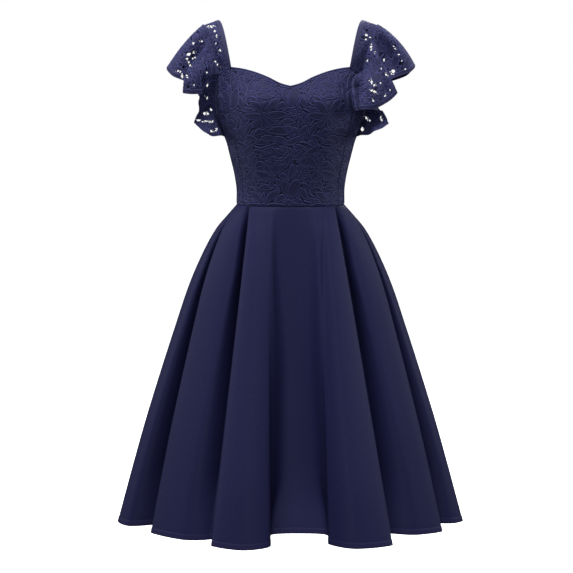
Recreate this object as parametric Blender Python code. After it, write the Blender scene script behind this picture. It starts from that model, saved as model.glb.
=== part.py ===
# Cocktail dress, size S: lace bodice with a sweetheart neckline, lace flounce sleeves and a pleated skirt.
# Metres. The front faces -Y, +X is the right of the front view, z = 0 is the top of the shoulder straps.
import math
from collections import namedtuple

import bpy
from mathutils import Vector

BODICE_WALL = 0.0018        # lace on its lining
SATIN_WALL = 0.0016
LACE_WALL = 0.0012          # single lace of the straps and sleeves
SEAM_GAP = 0.0003
SEAM_DRAW = 0.00021         # how far each piece's edge is drawn in at a seam
LAY_GAP = 0.00075           # between a wall and the curved wall that it lies on
WAIST_Z = -0.374
ROUNDNESS = 0.87            # power of sine and cosine in the bodice sections: 1 is an ellipse
CUP_X = 0.066               # bust cups: distance from the centre and reach
CUP_REACH = 0.044
CUP_FADE = 2.5              # how fast the cups fade out towards the sides
BODICE_ROWS = 7
# Angles round the body, from the front, at which the strap's two edges stand on the bodice
STRAP_INNER_FRONT = 50
STRAP_OUTER_FRONT = 70
STRAP_OUTER_BACK = 110
STRAP_INNER_BACK = 126
STRAP_TOP_INNER = 0.1475    # shoulder top of the strap: inner and outer edge
STRAP_TOP_OUTER = 0.1770
STRAP_DROP = 0.010          # the outer edge lies lower than the inner one
STRAP_END = 0.006           # share of the strap's length left free over the bodice's edge
STRAP_COLUMNS = 16
STRAP_ROWS = 3
BINDING_WIDTH = 0.008
FLOUNCE_COLUMNS = 26
FLOUNCE_ROWS = 6
GAP_SHARE = 0.62            # a lace gap's share of its cell
SKIRT_STEPS = 2             # columns from one fold line to the next
SIDE_START = 0.72           # sine of the angle where the skirt starts to follow its side silhouette
SIDE_BLEND = 0.22
FRONT_FLARE = 0.55          # share of the silhouette's curve in the folds at front and back

# Zip in the centre back seam, closed: the tape runs inside, the slider stands at the top outside
TAPE_TOP_Z = -0.158
TAPE_END = 0.22             # share of the skirt's height that the tape reaches down
TAPE_HALF_WIDTH = 0.012
TAPE_ROWS = 8
SLIDER_Z = -0.172
SLIDER_WIDE = 0.0080
SLIDER_NARROW = 0.0062
SLIDER_LENGTH = 0.0110
SLIDER_THICK = 0.0020
BRIDGE_WIDTH = 0.0020
BRIDGE_HALF_LENGTH = 0.0042
BRIDGE_RISE = 0.0036
BRIDGE_THICK = 0.0009
BRIDGE_SINK = 0.0006        # how far its feet reach into the slider
PULL_AXIS_RISE = 0.0014     # from the slider's face to the axis of the pull
PULL_THICK = 0.0010
PULL_BAR = 0.0008           # half the height of the bar under the bridge
PULL_TOP_WIDTH = 0.0056
PULL_END_WIDTH = 0.0070
PULL_LENGTH = 0.0230
PULL_WINDOW_WIDTH = 0.0032
PULL_WINDOW_LENGTH = 0.0062
ARC_STEPS = 8

Section = namedtuple("Section", "z half_width front back cup")
BODICE_SECTIONS = [
    Section(-0.374, 0.1100, 0.088, 0.082, 0.000),
    Section(-0.341, 0.1100, 0.090, 0.083, 0.001),
    Section(-0.308, 0.1150, 0.095, 0.085, 0.003),
    Section(-0.275, 0.1230, 0.102, 0.089, 0.006),
    Section(-0.243, 0.1315, 0.108, 0.093, 0.012),
    Section(-0.216, 0.1420, 0.111, 0.096, 0.018),
    Section(-0.185, 0.1505, 0.112, 0.099, 0.022),
    Section(-0.155, 0.1530, 0.109, 0.101, 0.020),
    Section(-0.125, 0.1530, 0.104, 0.102, 0.012),
    Section(-0.092, 0.1520, 0.098, 0.102, 0.003),
]

# Top edge of the bodice: sweetheart, foot of the strap, armhole, foot of the strap behind, low back
Edge = namedtuple("Edge", "angle z")
BODICE_TOP = [
    Edge(0, -0.1310), Edge(6, -0.1250), Edge(14, -0.1135), Edge(25, -0.1030), Edge(37, -0.0965),
    Edge(STRAP_INNER_FRONT, -0.0935), Edge(STRAP_OUTER_FRONT, -0.1080), Edge(75, -0.1450), Edge(81, -0.1830),
    Edge(90, -0.2020), Edge(99, -0.1860), Edge(105, -0.1520), Edge(STRAP_OUTER_BACK, -0.1200),
    Edge(STRAP_INNER_BACK, -0.1050), Edge(142, -0.1260), Edge(160, -0.1440), Edge(180, -0.1520),
]

# Lines that run down the bodice: their angle at the waist and at the top, and the columns up to the next one
Line = namedtuple("Line", "name waist_angle top_angle columns")
BODICE_LINES = [
    Line("centre_front", 0, 0, 9),
    Line("princess", 60, STRAP_INNER_FRONT, 3),
    Line("strap_outer", 74, STRAP_OUTER_FRONT, 4),
    Line("side_seam", 92, 90, 4),
    Line("back_strap_outer", 107, STRAP_OUTER_BACK, 3),
    Line("back_strap_inner", 122, STRAP_INNER_BACK, 6),
    Line("centre_back", 180, 180, 0),
]

# Skirt silhouette: share of the way down, share of the way out
Flare = namedtuple("Flare", "down out")
SKIRT_FLARE = [
    Flare(0.00, 0.000), Flare(0.03, 0.070), Flare(0.075, 0.170), Flare(0.15, 0.280), Flare(0.25, 0.395),
    Flare(0.38, 0.512), Flare(0.52, 0.633), Flare(0.68, 0.765), Flare(0.84, 0.885), Flare(1.00, 1.000),
]

# Skirt folds round the hem: angle and lift at the waist, place and height at the hem
Fold = namedtuple("Fold", "name angle lift x y z")
FRONT_FOLDS = [
    Fold("side_left", -92, 0.000, -0.3610, 0.010, -1.038),
    Fold("outer_panel_left", -84, 0.000, -0.3400, -0.030, -1.040),
    Fold("under_left", -77, 0.000, -0.2930, -0.050, -1.039),
    Fold("turn_left", -74.5, 0.000, -0.2660, -0.068, -1.038),
    Fold("edge_left", -72, 0.0030, -0.2833, -0.105, -1.038),
    Fold("panel_left", -60, 0.0015, -0.2221, -0.160, -1.039),
    Fold("under_panel_left", -48, 0.000, -0.1640, -0.186, -1.039),
    Fold("turn_front_left", -45.5, 0.000, -0.1340, -0.187, -1.037),
    Fold("edge_front_left", -43, 0.0030, -0.1555, -0.220, -1.036),
    Fold("swell_left", -34, 0.0020, -0.0950, -0.268, -1.036),
    Fold("roll_left", -25, 0.0010, -0.0450, -0.250, -1.034),
    Fold("wall_left", -20, 0.000, -0.0360, -0.190, -1.031),
    Fold("hollow_left", -12, 0.000, -0.0200, -0.142, -1.027),
    Fold("hollow_right", 12, 0.000, 0.0560, -0.140, -1.027),
    Fold("wall_right", 24, 0.000, 0.0770, -0.188, -1.030),
    Fold("roll_right", 30, 0.0010, 0.0800, -0.236, -1.032),
    Fold("swell_right", 38, 0.0020, 0.1300, -0.264, -1.034),
    Fold("edge_front_right", 48, 0.0030, 0.2015, -0.215, -1.038),
    Fold("turn_front_right", 50.5, 0.000, 0.1760, -0.180, -1.035),
    Fold("under_panel_right", 53, 0.000, 0.2060, -0.165, -1.032),
    Fold("panel_right", 64, 0.0015, 0.2560, -0.142, -1.034),
    Fold("edge_right", 76, 0.0030, 0.3090, -0.100, -1.036),
    Fold("turn_right", 78.5, 0.000, 0.2860, -0.064, -1.033),
    Fold("under_right", 81, 0.000, 0.3130, -0.050, -1.035),
    Fold("outer_panel_right", 86, 0.000, 0.3450, -0.018, -1.037),
]
# Half of the back, from the side seam to the centre back seam; the other half mirrors it
BACK_FOLDS = [
    Fold("side", 92, 0.000, 0.3600, 0.010, -1.037),
    Fold("outer_panel_back", 98, 0.000, 0.3380, 0.050, -1.037),
    Fold("under_back", 104, 0.000, 0.2960, 0.072, -1.037),
    Fold("turn_back", 106.5, 0.000, 0.2700, 0.092, -1.037),
    Fold("edge_back", 109, 0.0030, 0.2850, 0.128, -1.037),
    Fold("panel_back", 120, 0.0015, 0.2300, 0.180, -1.038),
    Fold("under_inner_back", 131, 0.000, 0.1760, 0.200, -1.038),
    Fold("turn_inner_back", 133.5, 0.000, 0.1450, 0.202, -1.037),
    Fold("edge_inner_back", 136, 0.0030, 0.1640, 0.238, -1.036),
    Fold("swell_back", 148, 0.0020, 0.1000, 0.272, -1.036),
    Fold("roll_back", 160, 0.0010, 0.0440, 0.246, -1.033),
    Fold("wall_back", 168, 0.000, 0.0300, 0.200, -1.031),
]
CENTRE_BACK = Fold("centre_back", 180, 0.000, 0.0000, 0.170, -1.030)

# Flounce ribs from the shoulder to the underarm: place along the armhole, hem point, and how far
# the rib's middle stands out from its chord, sideways, towards its own side and upwards
Rib = namedtuple("Rib", "name along x y z out forward up")
FRONT_RIBS = {
    "R": [
        Rib("shoulder", 0.00, 0.2520, 0.004, -0.084, 0.006, 0.000, 0.011),
        Rib("first_lobe", 0.10, 0.2420, -0.034, -0.104, 0.007, 0.010, 0.010),
        Rib("first_valley", 0.22, 0.1960, -0.056, -0.124, 0.002, 0.002, 0.003),
        Rib("second_tip", 0.32, 0.2144, -0.082, -0.146, 0.012, 0.008, 0.011),
        Rib("second_lobe", 0.42, 0.1810, -0.112, -0.176, 0.012, 0.012, 0.013),
        Rib("second_fold", 0.52, 0.1250, -0.134, -0.184, -0.012, 0.020, 0.022),
        Rib("under_fold", 0.62, 0.1500, -0.098, -0.190, 0.002, 0.006, 0.005),
        Rib("third_tip", 0.72, 0.1975, -0.056, -0.205, 0.008, 0.005, 0.007),
        Rib("third_lobe", 0.83, 0.1700, -0.060, -0.2215, 0.004, 0.003, 0.004),
        Rib("third_end", 0.93, 0.1480, -0.040, -0.2325, 0.003, 0.001, 0.003),
        Rib("underarm", 1.00, 0.1405, 0.004, -0.2350, 0.003, 0.000, 0.002),
    ],
    "L": [
        Rib("shoulder", 0.00, 0.2550, 0.004, -0.096, 0.005, 0.000, 0.006),
        Rib("first_lobe", 0.10, 0.2380, -0.034, -0.112, 0.005, 0.008, 0.006),
        Rib("first_valley", 0.22, 0.2030, -0.056, -0.128, 0.002, 0.002, 0.003),
        Rib("second_tip", 0.33, 0.2160, -0.084, -0.150, 0.012, 0.008, 0.011),
        Rib("second_lobe", 0.44, 0.1800, -0.108, -0.155, 0.010, 0.008, 0.010),
        Rib("second_fold", 0.54, 0.1620, -0.092, -0.160, 0.004, 0.004, 0.005),
        Rib("under_fold", 0.63, 0.1750, -0.062, -0.172, 0.004, 0.003, 0.004),
        Rib("third_tip", 0.72, 0.1930, -0.048, -0.2060, 0.008, 0.005, 0.007),
        Rib("third_lobe", 0.83, 0.1680, -0.060, -0.2270, 0.004, 0.003, 0.004),
        Rib("third_end", 0.93, 0.1460, -0.040, -0.2335, 0.003, 0.001, 0.003),
        Rib("underarm", 1.00, 0.1405, 0.004, -0.2350, 0.003, 0.000, 0.002),
    ],
}
BACK_RIBS = [
    Rib("back_first_lobe", 0.12, 0.2380, 0.042, -0.112, 0.010, 0.008, 0.010),
    Rib("back_first_valley", 0.25, 0.1930, 0.064, -0.130, 0.002, 0.002, 0.003),
    Rib("back_second_tip", 0.37, 0.2040, 0.096, -0.148, 0.010, 0.008, 0.010),
    Rib("back_second_lobe", 0.49, 0.1700, 0.118, -0.180, 0.012, 0.010, 0.012),
    Rib("back_under_fold", 0.61, 0.1640, 0.086, -0.188, 0.004, 0.004, 0.005),
    Rib("back_third_tip", 0.72, 0.1860, 0.058, -0.204, 0.006, 0.005, 0.006),
    Rib("back_third_lobe", 0.86, 0.1560, 0.050, -0.228, 0.004, 0.003, 0.004),
]


def clear_scene():
    for thing in list(bpy.data.objects):
        bpy.data.objects.remove(thing, do_unlink=True)


def make_material(name, color, roughness, metallic=0.0):
    material = bpy.data.materials.new(name)
    material.use_nodes = True
    shader = material.node_tree.nodes["Principled BSDF"]
    shader.inputs["Base Color"].default_value = (*color, 1.0)
    shader.inputs["Roughness"].default_value = roughness
    shader.inputs["Metallic"].default_value = metallic
    return material


def spline(before, start, end, after, share):
    """A point of the smooth curve through start and end, for numbers and for vectors."""
    slope_start = (end - before) * 0.5
    slope_end = (after - start) * 0.5
    square = share * share
    cube = square * share
    return (start * (2 * cube - 3 * square + 1) + slope_start * (cube - 2 * square + share)
            + end * (3 * square - 2 * cube) + slope_end * (cube - square))


def curve_value(places, values, place):
    """The smooth curve through values at the rising places, held level past its ends."""
    if place <= places[0]:
        return values[0]
    if place >= places[-1]:
        return values[-1]
    k = max(i for i in range(len(places) - 1) if places[i] <= place)
    span = places[k + 1] - places[k]
    slopes = []
    for i in (k, k + 1):
        low, high = max(i - 1, 0), min(i + 1, len(places) - 1)
        slopes.append((values[high] - values[low]) / (places[high] - places[low]) * span)
    t = (place - places[k]) / span
    return (values[k] * (2 * t**3 - 3 * t**2 + 1) + slopes[0] * (t**3 - 2 * t**2 + t)
            + values[k + 1] * (3 * t**2 - 2 * t**3) + slopes[1] * (t**3 - t**2))


def signed_power(value):
    return math.copysign(abs(value) ** ROUNDNESS, value)


def bodice_point(angle, z):
    """A point of the bodice's middle surface: angle in degrees from the front, towards +X."""
    heights = [row.z for row in BODICE_SECTIONS]
    half_width = curve_value(heights, [row.half_width for row in BODICE_SECTIONS], z)
    front = curve_value(heights, [row.front for row in BODICE_SECTIONS], z)
    back = curve_value(heights, [row.back for row in BODICE_SECTIONS], z)
    cup = curve_value(heights, [row.cup for row in BODICE_SECTIONS], z)
    turn = math.radians(angle)
    x = half_width * signed_power(math.sin(turn))
    forward = signed_power(math.cos(turn))
    y = -forward * (front if forward > 0 else back)
    if forward > 0:
        y -= cup * math.exp(-(((abs(x) - CUP_X) / CUP_REACH) ** 2)) * min(1.0, forward * CUP_FADE)
    return Vector((x, y, z))


def top_edge(angle):
    """Height of the bodice's top edge. It is smooth between its corners at the feet of the straps."""
    side = abs(angle)
    corners = (0, STRAP_INNER_FRONT, STRAP_OUTER_FRONT, STRAP_OUTER_BACK, STRAP_INNER_BACK, 180)
    k = max(i for i in range(len(corners) - 1) if corners[i] <= side)
    rows = [row for row in BODICE_TOP if corners[k] <= row.angle <= corners[k + 1]]
    return curve_value([row.angle for row in rows], [row.z for row in rows], side)


def bodice_columns():
    """(waist angle, top angle) of each column round the whole bodice, and where its seams fall."""
    half = []
    seams = {}
    for line, following in zip(BODICE_LINES, BODICE_LINES[1:]):
        seams[line.name] = len(half)
        for step in range(line.columns):
            share = step / line.columns
            half.append((line.waist_angle + (following.waist_angle - line.waist_angle) * share,
                         line.top_angle + (following.top_angle - line.top_angle) * share))
    seams["centre_back"] = len(half)
    half.append((180, 180))
    left = [(-waist, -top) for waist, top in reversed(half[1:])]
    return left + half, {name: (len(half) - 1 - at, len(half) - 1 + at) for name, at in seams.items()}


def bodice_grid():
    columns, seams = bodice_columns()
    rows = []
    for j in range(BODICE_ROWS + 1):
        up = j / BODICE_ROWS
        row = []
        for waist, top in columns:
            angle = waist + (top - waist) * up
            row.append(bodice_point(angle, WAIST_Z + (top_edge(top) - WAIST_Z) * up))
        rows.append(row)
    return rows, seams


def grid_normals(rows, closed=False):
    """Unit normals of a grid of points, pointing away from the axis of the dress or of the arm."""
    count = len(rows[0])
    normals = []
    for j, row in enumerate(rows):
        below, above = rows[max(j - 1, 0)], rows[min(j + 1, len(rows) - 1)]
        line = []
        for i in range(count):
            if closed and i in (0, count - 1):
                along = row[1] - row[count - 2]
            else:
                along = row[min(i + 1, count - 1)] - row[max(i - 1, 0)]
            line.append(along.cross(above[i] - below[i]).normalized())
        normals.append(line)
    return normals


def level(normal):
    return Vector((normal.x, normal.y, 0)).normalized()


def crop(rows, first, last):
    return [row[first:last + 1] for row in rows]


def part_seams(rows):
    """Draws the outer columns in, so that a seam gap stays between two pieces."""
    for row in rows:
        row[0] = row[0] + (row[1] - row[0]).normalized() * SEAM_DRAW
        row[-1] = row[-1] + (row[-2] - row[-1]).normalized() * SEAM_DRAW
    return rows


def build_wall(name, rows, normals, wall, material, gaps=()):
    """A closed cloth wall round a grid of middle points, with a diamond cut through each cell in gaps."""
    count = len(rows[0])
    vertices = []
    faces = []
    for side in (0.5, -0.5):
        for row, line in zip(rows, normals):
            vertices.extend(point + normal * wall * side for point, normal in zip(row, line))
    layer = len(rows) * count

    def at(i, j, under):
        return j * count + i + layer * under

    def add_face(corners, under):
        faces.append(tuple(reversed(corners)) if under else tuple(corners))

    for j in range(len(rows) - 1):
        for i in range(count - 1):
            ring = [(i, j), (i + 1, j), (i + 1, j + 1), (i, j + 1)]
            if (i, j) not in gaps:
                for under in (0, 1):
                    add_face([at(*corner, under) for corner in ring], under)
                continue
            points = [rows[b][a] for a, b in ring]
            middle = sum(points, Vector()) / 4
            normal = sum((normals[b][a] for a, b in ring), Vector()).normalized()
            tips = [middle + ((points[k] + points[(k + 1) % 4]) / 2 - middle) * GAP_SHARE for k in range(4)]
            start = len(vertices)
            for side in (0.5, -0.5):
                vertices.extend(tip + normal * wall * side for tip in tips)
            for k in range(4):
                after = (k + 1) % 4
                for under in (0, 1):
                    tip, tip_after = start + 4 * under + k, start + 4 * under + after
                    add_face([at(*ring[k], under), at(*ring[after], under), tip], under)
                    add_face([at(*ring[after], under), tip_after, tip], under)
                faces.append((start + k, start + after, start + 4 + after, start + 4 + k))
    top, end = len(rows) - 1, count - 1
    for i in range(end):
        faces.append((at(i + 1, 0, 0), at(i, 0, 0), at(i, 0, 1), at(i + 1, 0, 1)))
        faces.append((at(i, top, 0), at(i + 1, top, 0), at(i + 1, top, 1), at(i, top, 1)))
    for j in range(top):
        faces.append((at(0, j, 0), at(0, j + 1, 0), at(0, j + 1, 1), at(0, j, 1)))
        faces.append((at(end, j + 1, 0), at(end, j, 0), at(end, j, 1), at(end, j + 1, 1)))
    mesh = bpy.data.meshes.new(name)
    mesh.from_pydata([tuple(point) for point in vertices], [], faces)
    mesh.validate()
    mesh.shade_smooth()
    mesh.set_sharp_from_angle(angle=math.radians(40))
    mesh.materials.append(material)
    piece = bpy.data.objects.new(name, mesh)
    bpy.context.scene.collection.objects.link(piece)
    return piece


def lace_gaps(columns, rows):
    """The cells of a lace grid that are cut: pairs in a staggered repeat, clear of the edges."""
    inner = [(i, j) for i in range(1, columns - 1) for j in range(1, rows - 1)]
    return {(i, j) for i, j in inner if (2 * i + 3 * j) % 7 in (0, 2)}


def build_bodice(material):
    rows, seams = bodice_grid()
    normals = grid_normals(rows, closed=True)
    normals[0] = [level(normal) for normal in normals[0]]
    normals[-1] = [level(normal) for normal in normals[-1]]
    front_left, front_right = seams["princess"]
    side_left, side_right = seams["side_seam"]
    back_left, back_right = seams["centre_back"]
    panels = [
        ("bodice_front", front_left, front_right),
        ("bodice_side_front_L", side_left, front_left),
        ("bodice_side_front_R", front_right, side_right),
        ("bodice_back_L", back_left, side_left),
        ("bodice_back_R", side_right, back_right),
    ]
    for name, first, last in panels:
        panel = part_seams(crop(rows, first, last))
        build_wall(name, panel, crop(normals, first, last), BODICE_WALL, material)


def skirt_folds():
    """All fold rows round the waist: the left back, the front and the right back."""
    left_back = [row._replace(angle=-row.angle, x=-row.x) for row in reversed(BACK_FOLDS[1:])]
    centre_left = CENTRE_BACK._replace(angle=-180)
    return [centre_left] + left_back + FRONT_FOLDS + BACK_FOLDS + [CENTRE_BACK]


def flare(down):
    return curve_value([row.down for row in SKIRT_FLARE], [row.out for row in SKIRT_FLARE], down)


def fold_point(row, down):
    """A fold's place at a share of the way down. Side folds follow the silhouette, others are straighter."""
    turn = math.radians(row.angle)
    seam = BODICE_SECTIONS[0]
    reach = seam.half_width + row.lift
    depth_reach = (seam.front if abs(row.angle) < 90 else seam.back) + row.lift
    waist = Vector((reach * signed_power(math.sin(turn)), -depth_reach * signed_power(math.cos(turn)),
                    WAIST_Z - SEAM_GAP))
    out = flare(down)
    side = min(1.0, max(0.0, (abs(math.sin(turn)) - SIDE_START) / SIDE_BLEND))
    share_x = down + (out - down) * side
    share_y = down + (out - down) * (FRONT_FLARE + (1 - FRONT_FLARE) * side)
    return Vector((waist.x + (row.x - waist.x) * share_x, waist.y + (row.y - waist.y) * share_y,
                   waist.z + (row.z - waist.z) * down))


def skirt_grid():
    """Rows from the hem up to the waist, each a smooth curve through the folds."""
    folds = skirt_folds()
    rows = []
    for height in reversed(SKIRT_FLARE):
        points = [fold_point(row, height.down) for row in folds]
        before = Vector((-points[1].x, points[1].y, points[1].z))
        ring = [before] + points + [Vector((-points[-2].x, points[-2].y, points[-2].z))]
        line = []
        for k in range(1, len(ring) - 2):
            for step in range(SKIRT_STEPS):
                line.append(spline(ring[k - 1], ring[k], ring[k + 1], ring[k + 2], step / SKIRT_STEPS))
        line.append(points[-1])
        rows.append(line)
    return rows


def build_skirt(material):
    rows = skirt_grid()
    normals = grid_normals(rows, closed=True)
    normals[-1] = [level(normal) for normal in normals[-1]]
    side_left = SKIRT_STEPS * len(BACK_FOLDS)
    side_right = side_left + SKIRT_STEPS * len(FRONT_FOLDS)
    last = len(rows[0]) - 1
    panels = [
        ("skirt_back_L", 0, side_left),
        ("skirt_front", side_left, side_right),
        ("skirt_back_R", side_right, last),
    ]
    for name, first, end in panels:
        panel = part_seams(crop(rows, first, end))
        build_wall(name, panel, crop(normals, first, end), SATIN_WALL, material)


def quarter_arch(foot, top, share):
    """A point from the strap's foot (0) to the shoulder top (1): upright at the foot, level at the top."""
    turn = share * math.pi / 2
    return Vector((foot.x + (top.x - foot.x) * share, foot.y * math.cos(turn) + top.y * math.sin(turn),
                   foot.z + (top.z - foot.z) * math.sin(turn)))


def strap_edges(share):
    """Inner and outer edge of the right strap at share: 0 at its front foot, 1 at its back foot."""
    edges = []
    inner_top = Vector((STRAP_TOP_INNER, 0, 0))
    outer_top = Vector((STRAP_TOP_OUTER, 0, -STRAP_DROP))
    for front, back, top in ((STRAP_INNER_FRONT, STRAP_INNER_BACK, inner_top),
                             (STRAP_OUTER_FRONT, STRAP_OUTER_BACK, outer_top)):
        angle = front if share <= 0.5 else back
        foot = bodice_point(angle, top_edge(angle))
        up = 1 - abs(share - 0.5) * 2
        edges.append(quarter_arch(foot, top, up))
    return edges


def mirrored(rows, side):
    """Mirrors a right-hand grid for the left side, and keeps its outer face outside."""
    if side == "R":
        return rows
    return [[Vector((-p.x, p.y, p.z)) for p in reversed(row)] for row in rows]


def strap_rows():
    rows = []
    for j in range(STRAP_ROWS + 1):
        line = []
        for i in range(STRAP_COLUMNS + 1):
            share = STRAP_END + (1 - 2 * STRAP_END) * i / STRAP_COLUMNS
            inner, outer = strap_edges(share)
            line.append(outer + (inner - outer) * j / STRAP_ROWS)
        rows.append(line)
    return rows


def build_straps(lace, binding):
    right = strap_rows()
    for side in "RL":
        rows = mirrored(right, side)
        normals = grid_normals(rows)
        for line in normals:
            line[0], line[-1] = level(line[0]), level(line[-1])
        gaps = {(i, 1) for i in range(2, STRAP_COLUMNS - 2) if i % 3}
        build_wall(f"strap_{side}", rows, normals, LACE_WALL, lace, gaps)
        width = (rows[-1][0] - rows[0][0]).length
        away = LACE_WALL + LAY_GAP
        band = []
        band_normals = []
        for share in (1 - BINDING_WIDTH * STRAP_ROWS / width, 1.0):
            line = [(normals[-2][i] + (normals[-1][i] - normals[-2][i]) * share).normalized()
                    for i in range(STRAP_COLUMNS + 1)]
            band.append([rows[-2][i] + (rows[-1][i] - rows[-2][i]) * share + line[i] * away
                         for i in range(STRAP_COLUMNS + 1)])
            band_normals.append(line)
        build_wall(f"strap_binding_{side}", band, band_normals, LACE_WALL, binding)


def armhole_edge(along, facing):
    """Where the right flounce starts, just outside its edge: 0 at the shoulder and 1 under the arm."""
    front = facing == "front"
    foot = STRAP_OUTER_FRONT if front else STRAP_OUTER_BACK
    if along <= 0.5:
        up = 1 - along * 2
        share = up / 2 if front else 1 - up / 2
        inner, outer = strap_edges(share)
        step = 0.01 if share < 0.5 else -0.01
        onward = (strap_edges(share + step)[1] - outer) * (1 if step > 0 else -1)
        return outer + onward.cross(inner - outer).normalized() * (LACE_WALL + LAY_GAP)
    angle = foot + (90 - foot) * (along * 2 - 1)
    edge = bodice_point(angle, top_edge(angle))
    turn = math.radians(angle)
    return edge + Vector((math.sin(turn), -math.cos(turn), 0)) * ((BODICE_WALL + LACE_WALL) / 2 + LAY_GAP)


def flounce_grid(ribs, facing):
    """Rows from the hem up to the armhole. Hem and bow follow smooth curves across the ribs."""
    places = [rib.along for rib in ribs]
    hems = [Vector((rib.x, rib.y, rib.z)) for rib in ribs]
    sign = -1 if facing == "front" else 1
    bows = [Vector((rib.out, rib.forward * sign, rib.up)) for rib in ribs]
    rows = []
    for j in range(FLOUNCE_ROWS, -1, -1):
        share = j / FLOUNCE_ROWS
        line = []
        for i in range(FLOUNCE_COLUMNS + 1):
            along = i / FLOUNCE_COLUMNS
            start = armhole_edge(along, facing)
            hem = curve_value(places, hems, along)
            bend = (start + hem) / 2 + curve_value(places, bows, along) * 2
            line.append(start * (1 - share) ** 2 + bend * 2 * share * (1 - share) + hem * share ** 2)
        rows.append(line)
    return rows


def build_flounces(material):
    gaps = lace_gaps(FLOUNCE_COLUMNS, FLOUNCE_ROWS)
    for side in "RL":
        front = FRONT_RIBS[side]
        back = [front[0]] + BACK_RIBS + [front[-1]]
        forward = flounce_grid(front, "front")
        behind = flounce_grid(back, "back")
        whole = mirrored([a[::-1] + b[1:] for a, b in zip(forward, behind)], side)
        normals = grid_normals(whole, closed=True)
        halves = ("front", "back") if side == "R" else ("back", "front")
        for facing, first in zip(halves, (0, FLOUNCE_COLUMNS)):
            last = first + FLOUNCE_COLUMNS
            rows = part_seams(crop(whole, first, last))
            lines = crop(normals, first, last)
            build_wall(f"flounce_{facing}_{side}", rows, lines, LACE_WALL, material, gaps)


def tape_rows():
    """The zip tape's middle points from its lower end up, just inside the centre back seam."""
    inward = (BODICE_WALL + LACE_WALL) / 2 + LAY_GAP
    centre = []
    for step in range(TAPE_ROWS):
        centre.append(fold_point(CENTRE_BACK, TAPE_END * (1 - step / TAPE_ROWS)))
    for step in range(TAPE_ROWS + 1):
        centre.append(bodice_point(180, WAIST_Z + (TAPE_TOP_Z - WAIST_Z) * step / TAPE_ROWS))
    rows = []
    for point in centre:
        rows.append([Vector((x, point.y - inward, point.z)) for x in (TAPE_HALF_WIDTH, 0, -TAPE_HALF_WIDTH)])
    return rows


def rounded_end(half_width, top, bottom, end_half_width):
    """Outline of a tab seen from behind: straight sides from the top, and a half round end."""
    outline = [(-half_width, top), (half_width, top)]
    for step in range(ARC_STEPS + 1):
        turn = math.pi * step / ARC_STEPS
        outline.append((end_half_width * math.cos(turn), bottom + end_half_width * (1 - math.sin(turn))))
    return outline


def flat_plate(name, outlines, thickness, place, material):
    """A plate in the XZ plane from flat outlines; an outline inside another one is a hole."""
    curve = bpy.data.curves.new(name, "CURVE")
    curve.dimensions = "2D"
    curve.fill_mode = "BOTH"
    curve.extrude = thickness / 2
    for outline in outlines:
        line = curve.splines.new("POLY")
        line.points.add(len(outline) - 1)
        for point, (x, z) in zip(line.points, outline):
            point.co = (x, z, 0, 1)
        line.use_cyclic_u = True
    curve.materials.append(material)
    plate = bpy.data.objects.new(name, curve)
    plate.rotation_euler = (math.pi / 2, 0, 0)
    plate.location = place
    bpy.context.scene.collection.objects.link(plate)
    return plate


def bridge_solid(face_y, material):
    """The arch over the pull's bar, its feet sunk a little into the slider."""
    long, short = BRIDGE_HALF_LENGTH, BRIDGE_HALF_LENGTH - BRIDGE_THICK
    top, bend = BRIDGE_RISE, BRIDGE_RISE - BRIDGE_THICK
    low = -BRIDGE_SINK
    profile = [(-long, low), (-long, bend), (-short, top), (short, top), (long, bend), (long, low),
               (short, low), (short, bend), (-short, bend), (-short, low)]
    sides = (-BRIDGE_WIDTH / 2, BRIDGE_WIDTH / 2)
    vertices = [(x, face_y + y, SLIDER_Z + z) for x in sides for z, y in profile]
    count = len(profile)
    faces = [tuple(range(count)), tuple(range(2 * count - 1, count - 1, -1))]
    faces += [(k, k + count, (k + 1) % count + count, (k + 1) % count) for k in range(count)]
    mesh = bpy.data.meshes.new("bridge")
    mesh.from_pydata(vertices, [], faces)
    mesh.materials.append(material)
    bridge = bpy.data.objects.new("zip_bridge_helper", mesh)
    bridge.hide_render = True
    bridge.display_type = "WIRE"
    bpy.context.scene.collection.objects.link(bridge)
    return bridge


def build_zip(tape_material, metal):
    rows = tape_rows()
    build_wall("zip_tape", rows, [[Vector((0, 1, 0))] * 3 for row in rows], LACE_WALL, tape_material)
    back = bodice_point(180, SLIDER_Z).y + BODICE_WALL / 2 + LAY_GAP
    half = SLIDER_LENGTH / 2
    wedge = [(-SLIDER_WIDE / 2, half), (SLIDER_WIDE / 2, half), (SLIDER_NARROW / 2, -half),
             (-SLIDER_NARROW / 2, -half)]
    slider = flat_plate("zip_slider", [wedge], SLIDER_THICK, (0, back + SLIDER_THICK / 2, SLIDER_Z), metal)
    face_y = back + SLIDER_THICK
    window_top = -PULL_BAR
    window = [(-PULL_WINDOW_WIDTH / 2, window_top), (PULL_WINDOW_WIDTH / 2, window_top),
              (PULL_WINDOW_WIDTH / 2, window_top - PULL_WINDOW_LENGTH),
              (-PULL_WINDOW_WIDTH / 2, window_top - PULL_WINDOW_LENGTH)]
    tab = rounded_end(PULL_TOP_WIDTH / 2, PULL_BAR, -PULL_LENGTH, PULL_END_WIDTH / 2)
    flat_plate("zip_pull", [tab, window], PULL_THICK, (0, face_y + PULL_AXIS_RISE, SLIDER_Z), metal)
    return slider, bridge_solid(face_y, metal)


def join_bridge(slider, bridge):
    """Turns the slider's plate into a mesh and joins the bridge to it."""
    graph = bpy.context.evaluated_depsgraph_get()
    mesh = bpy.data.meshes.new_from_object(slider.evaluated_get(graph))
    mesh.transform(slider.matrix_world)
    name = slider.name
    bpy.data.objects.remove(slider, do_unlink=True)
    body = bpy.data.objects.new(name, mesh)
    bpy.context.scene.collection.objects.link(body)
    union = body.modifiers.new("bridge", "BOOLEAN")
    union.operation = "UNION"
    union.object = bridge


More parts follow.
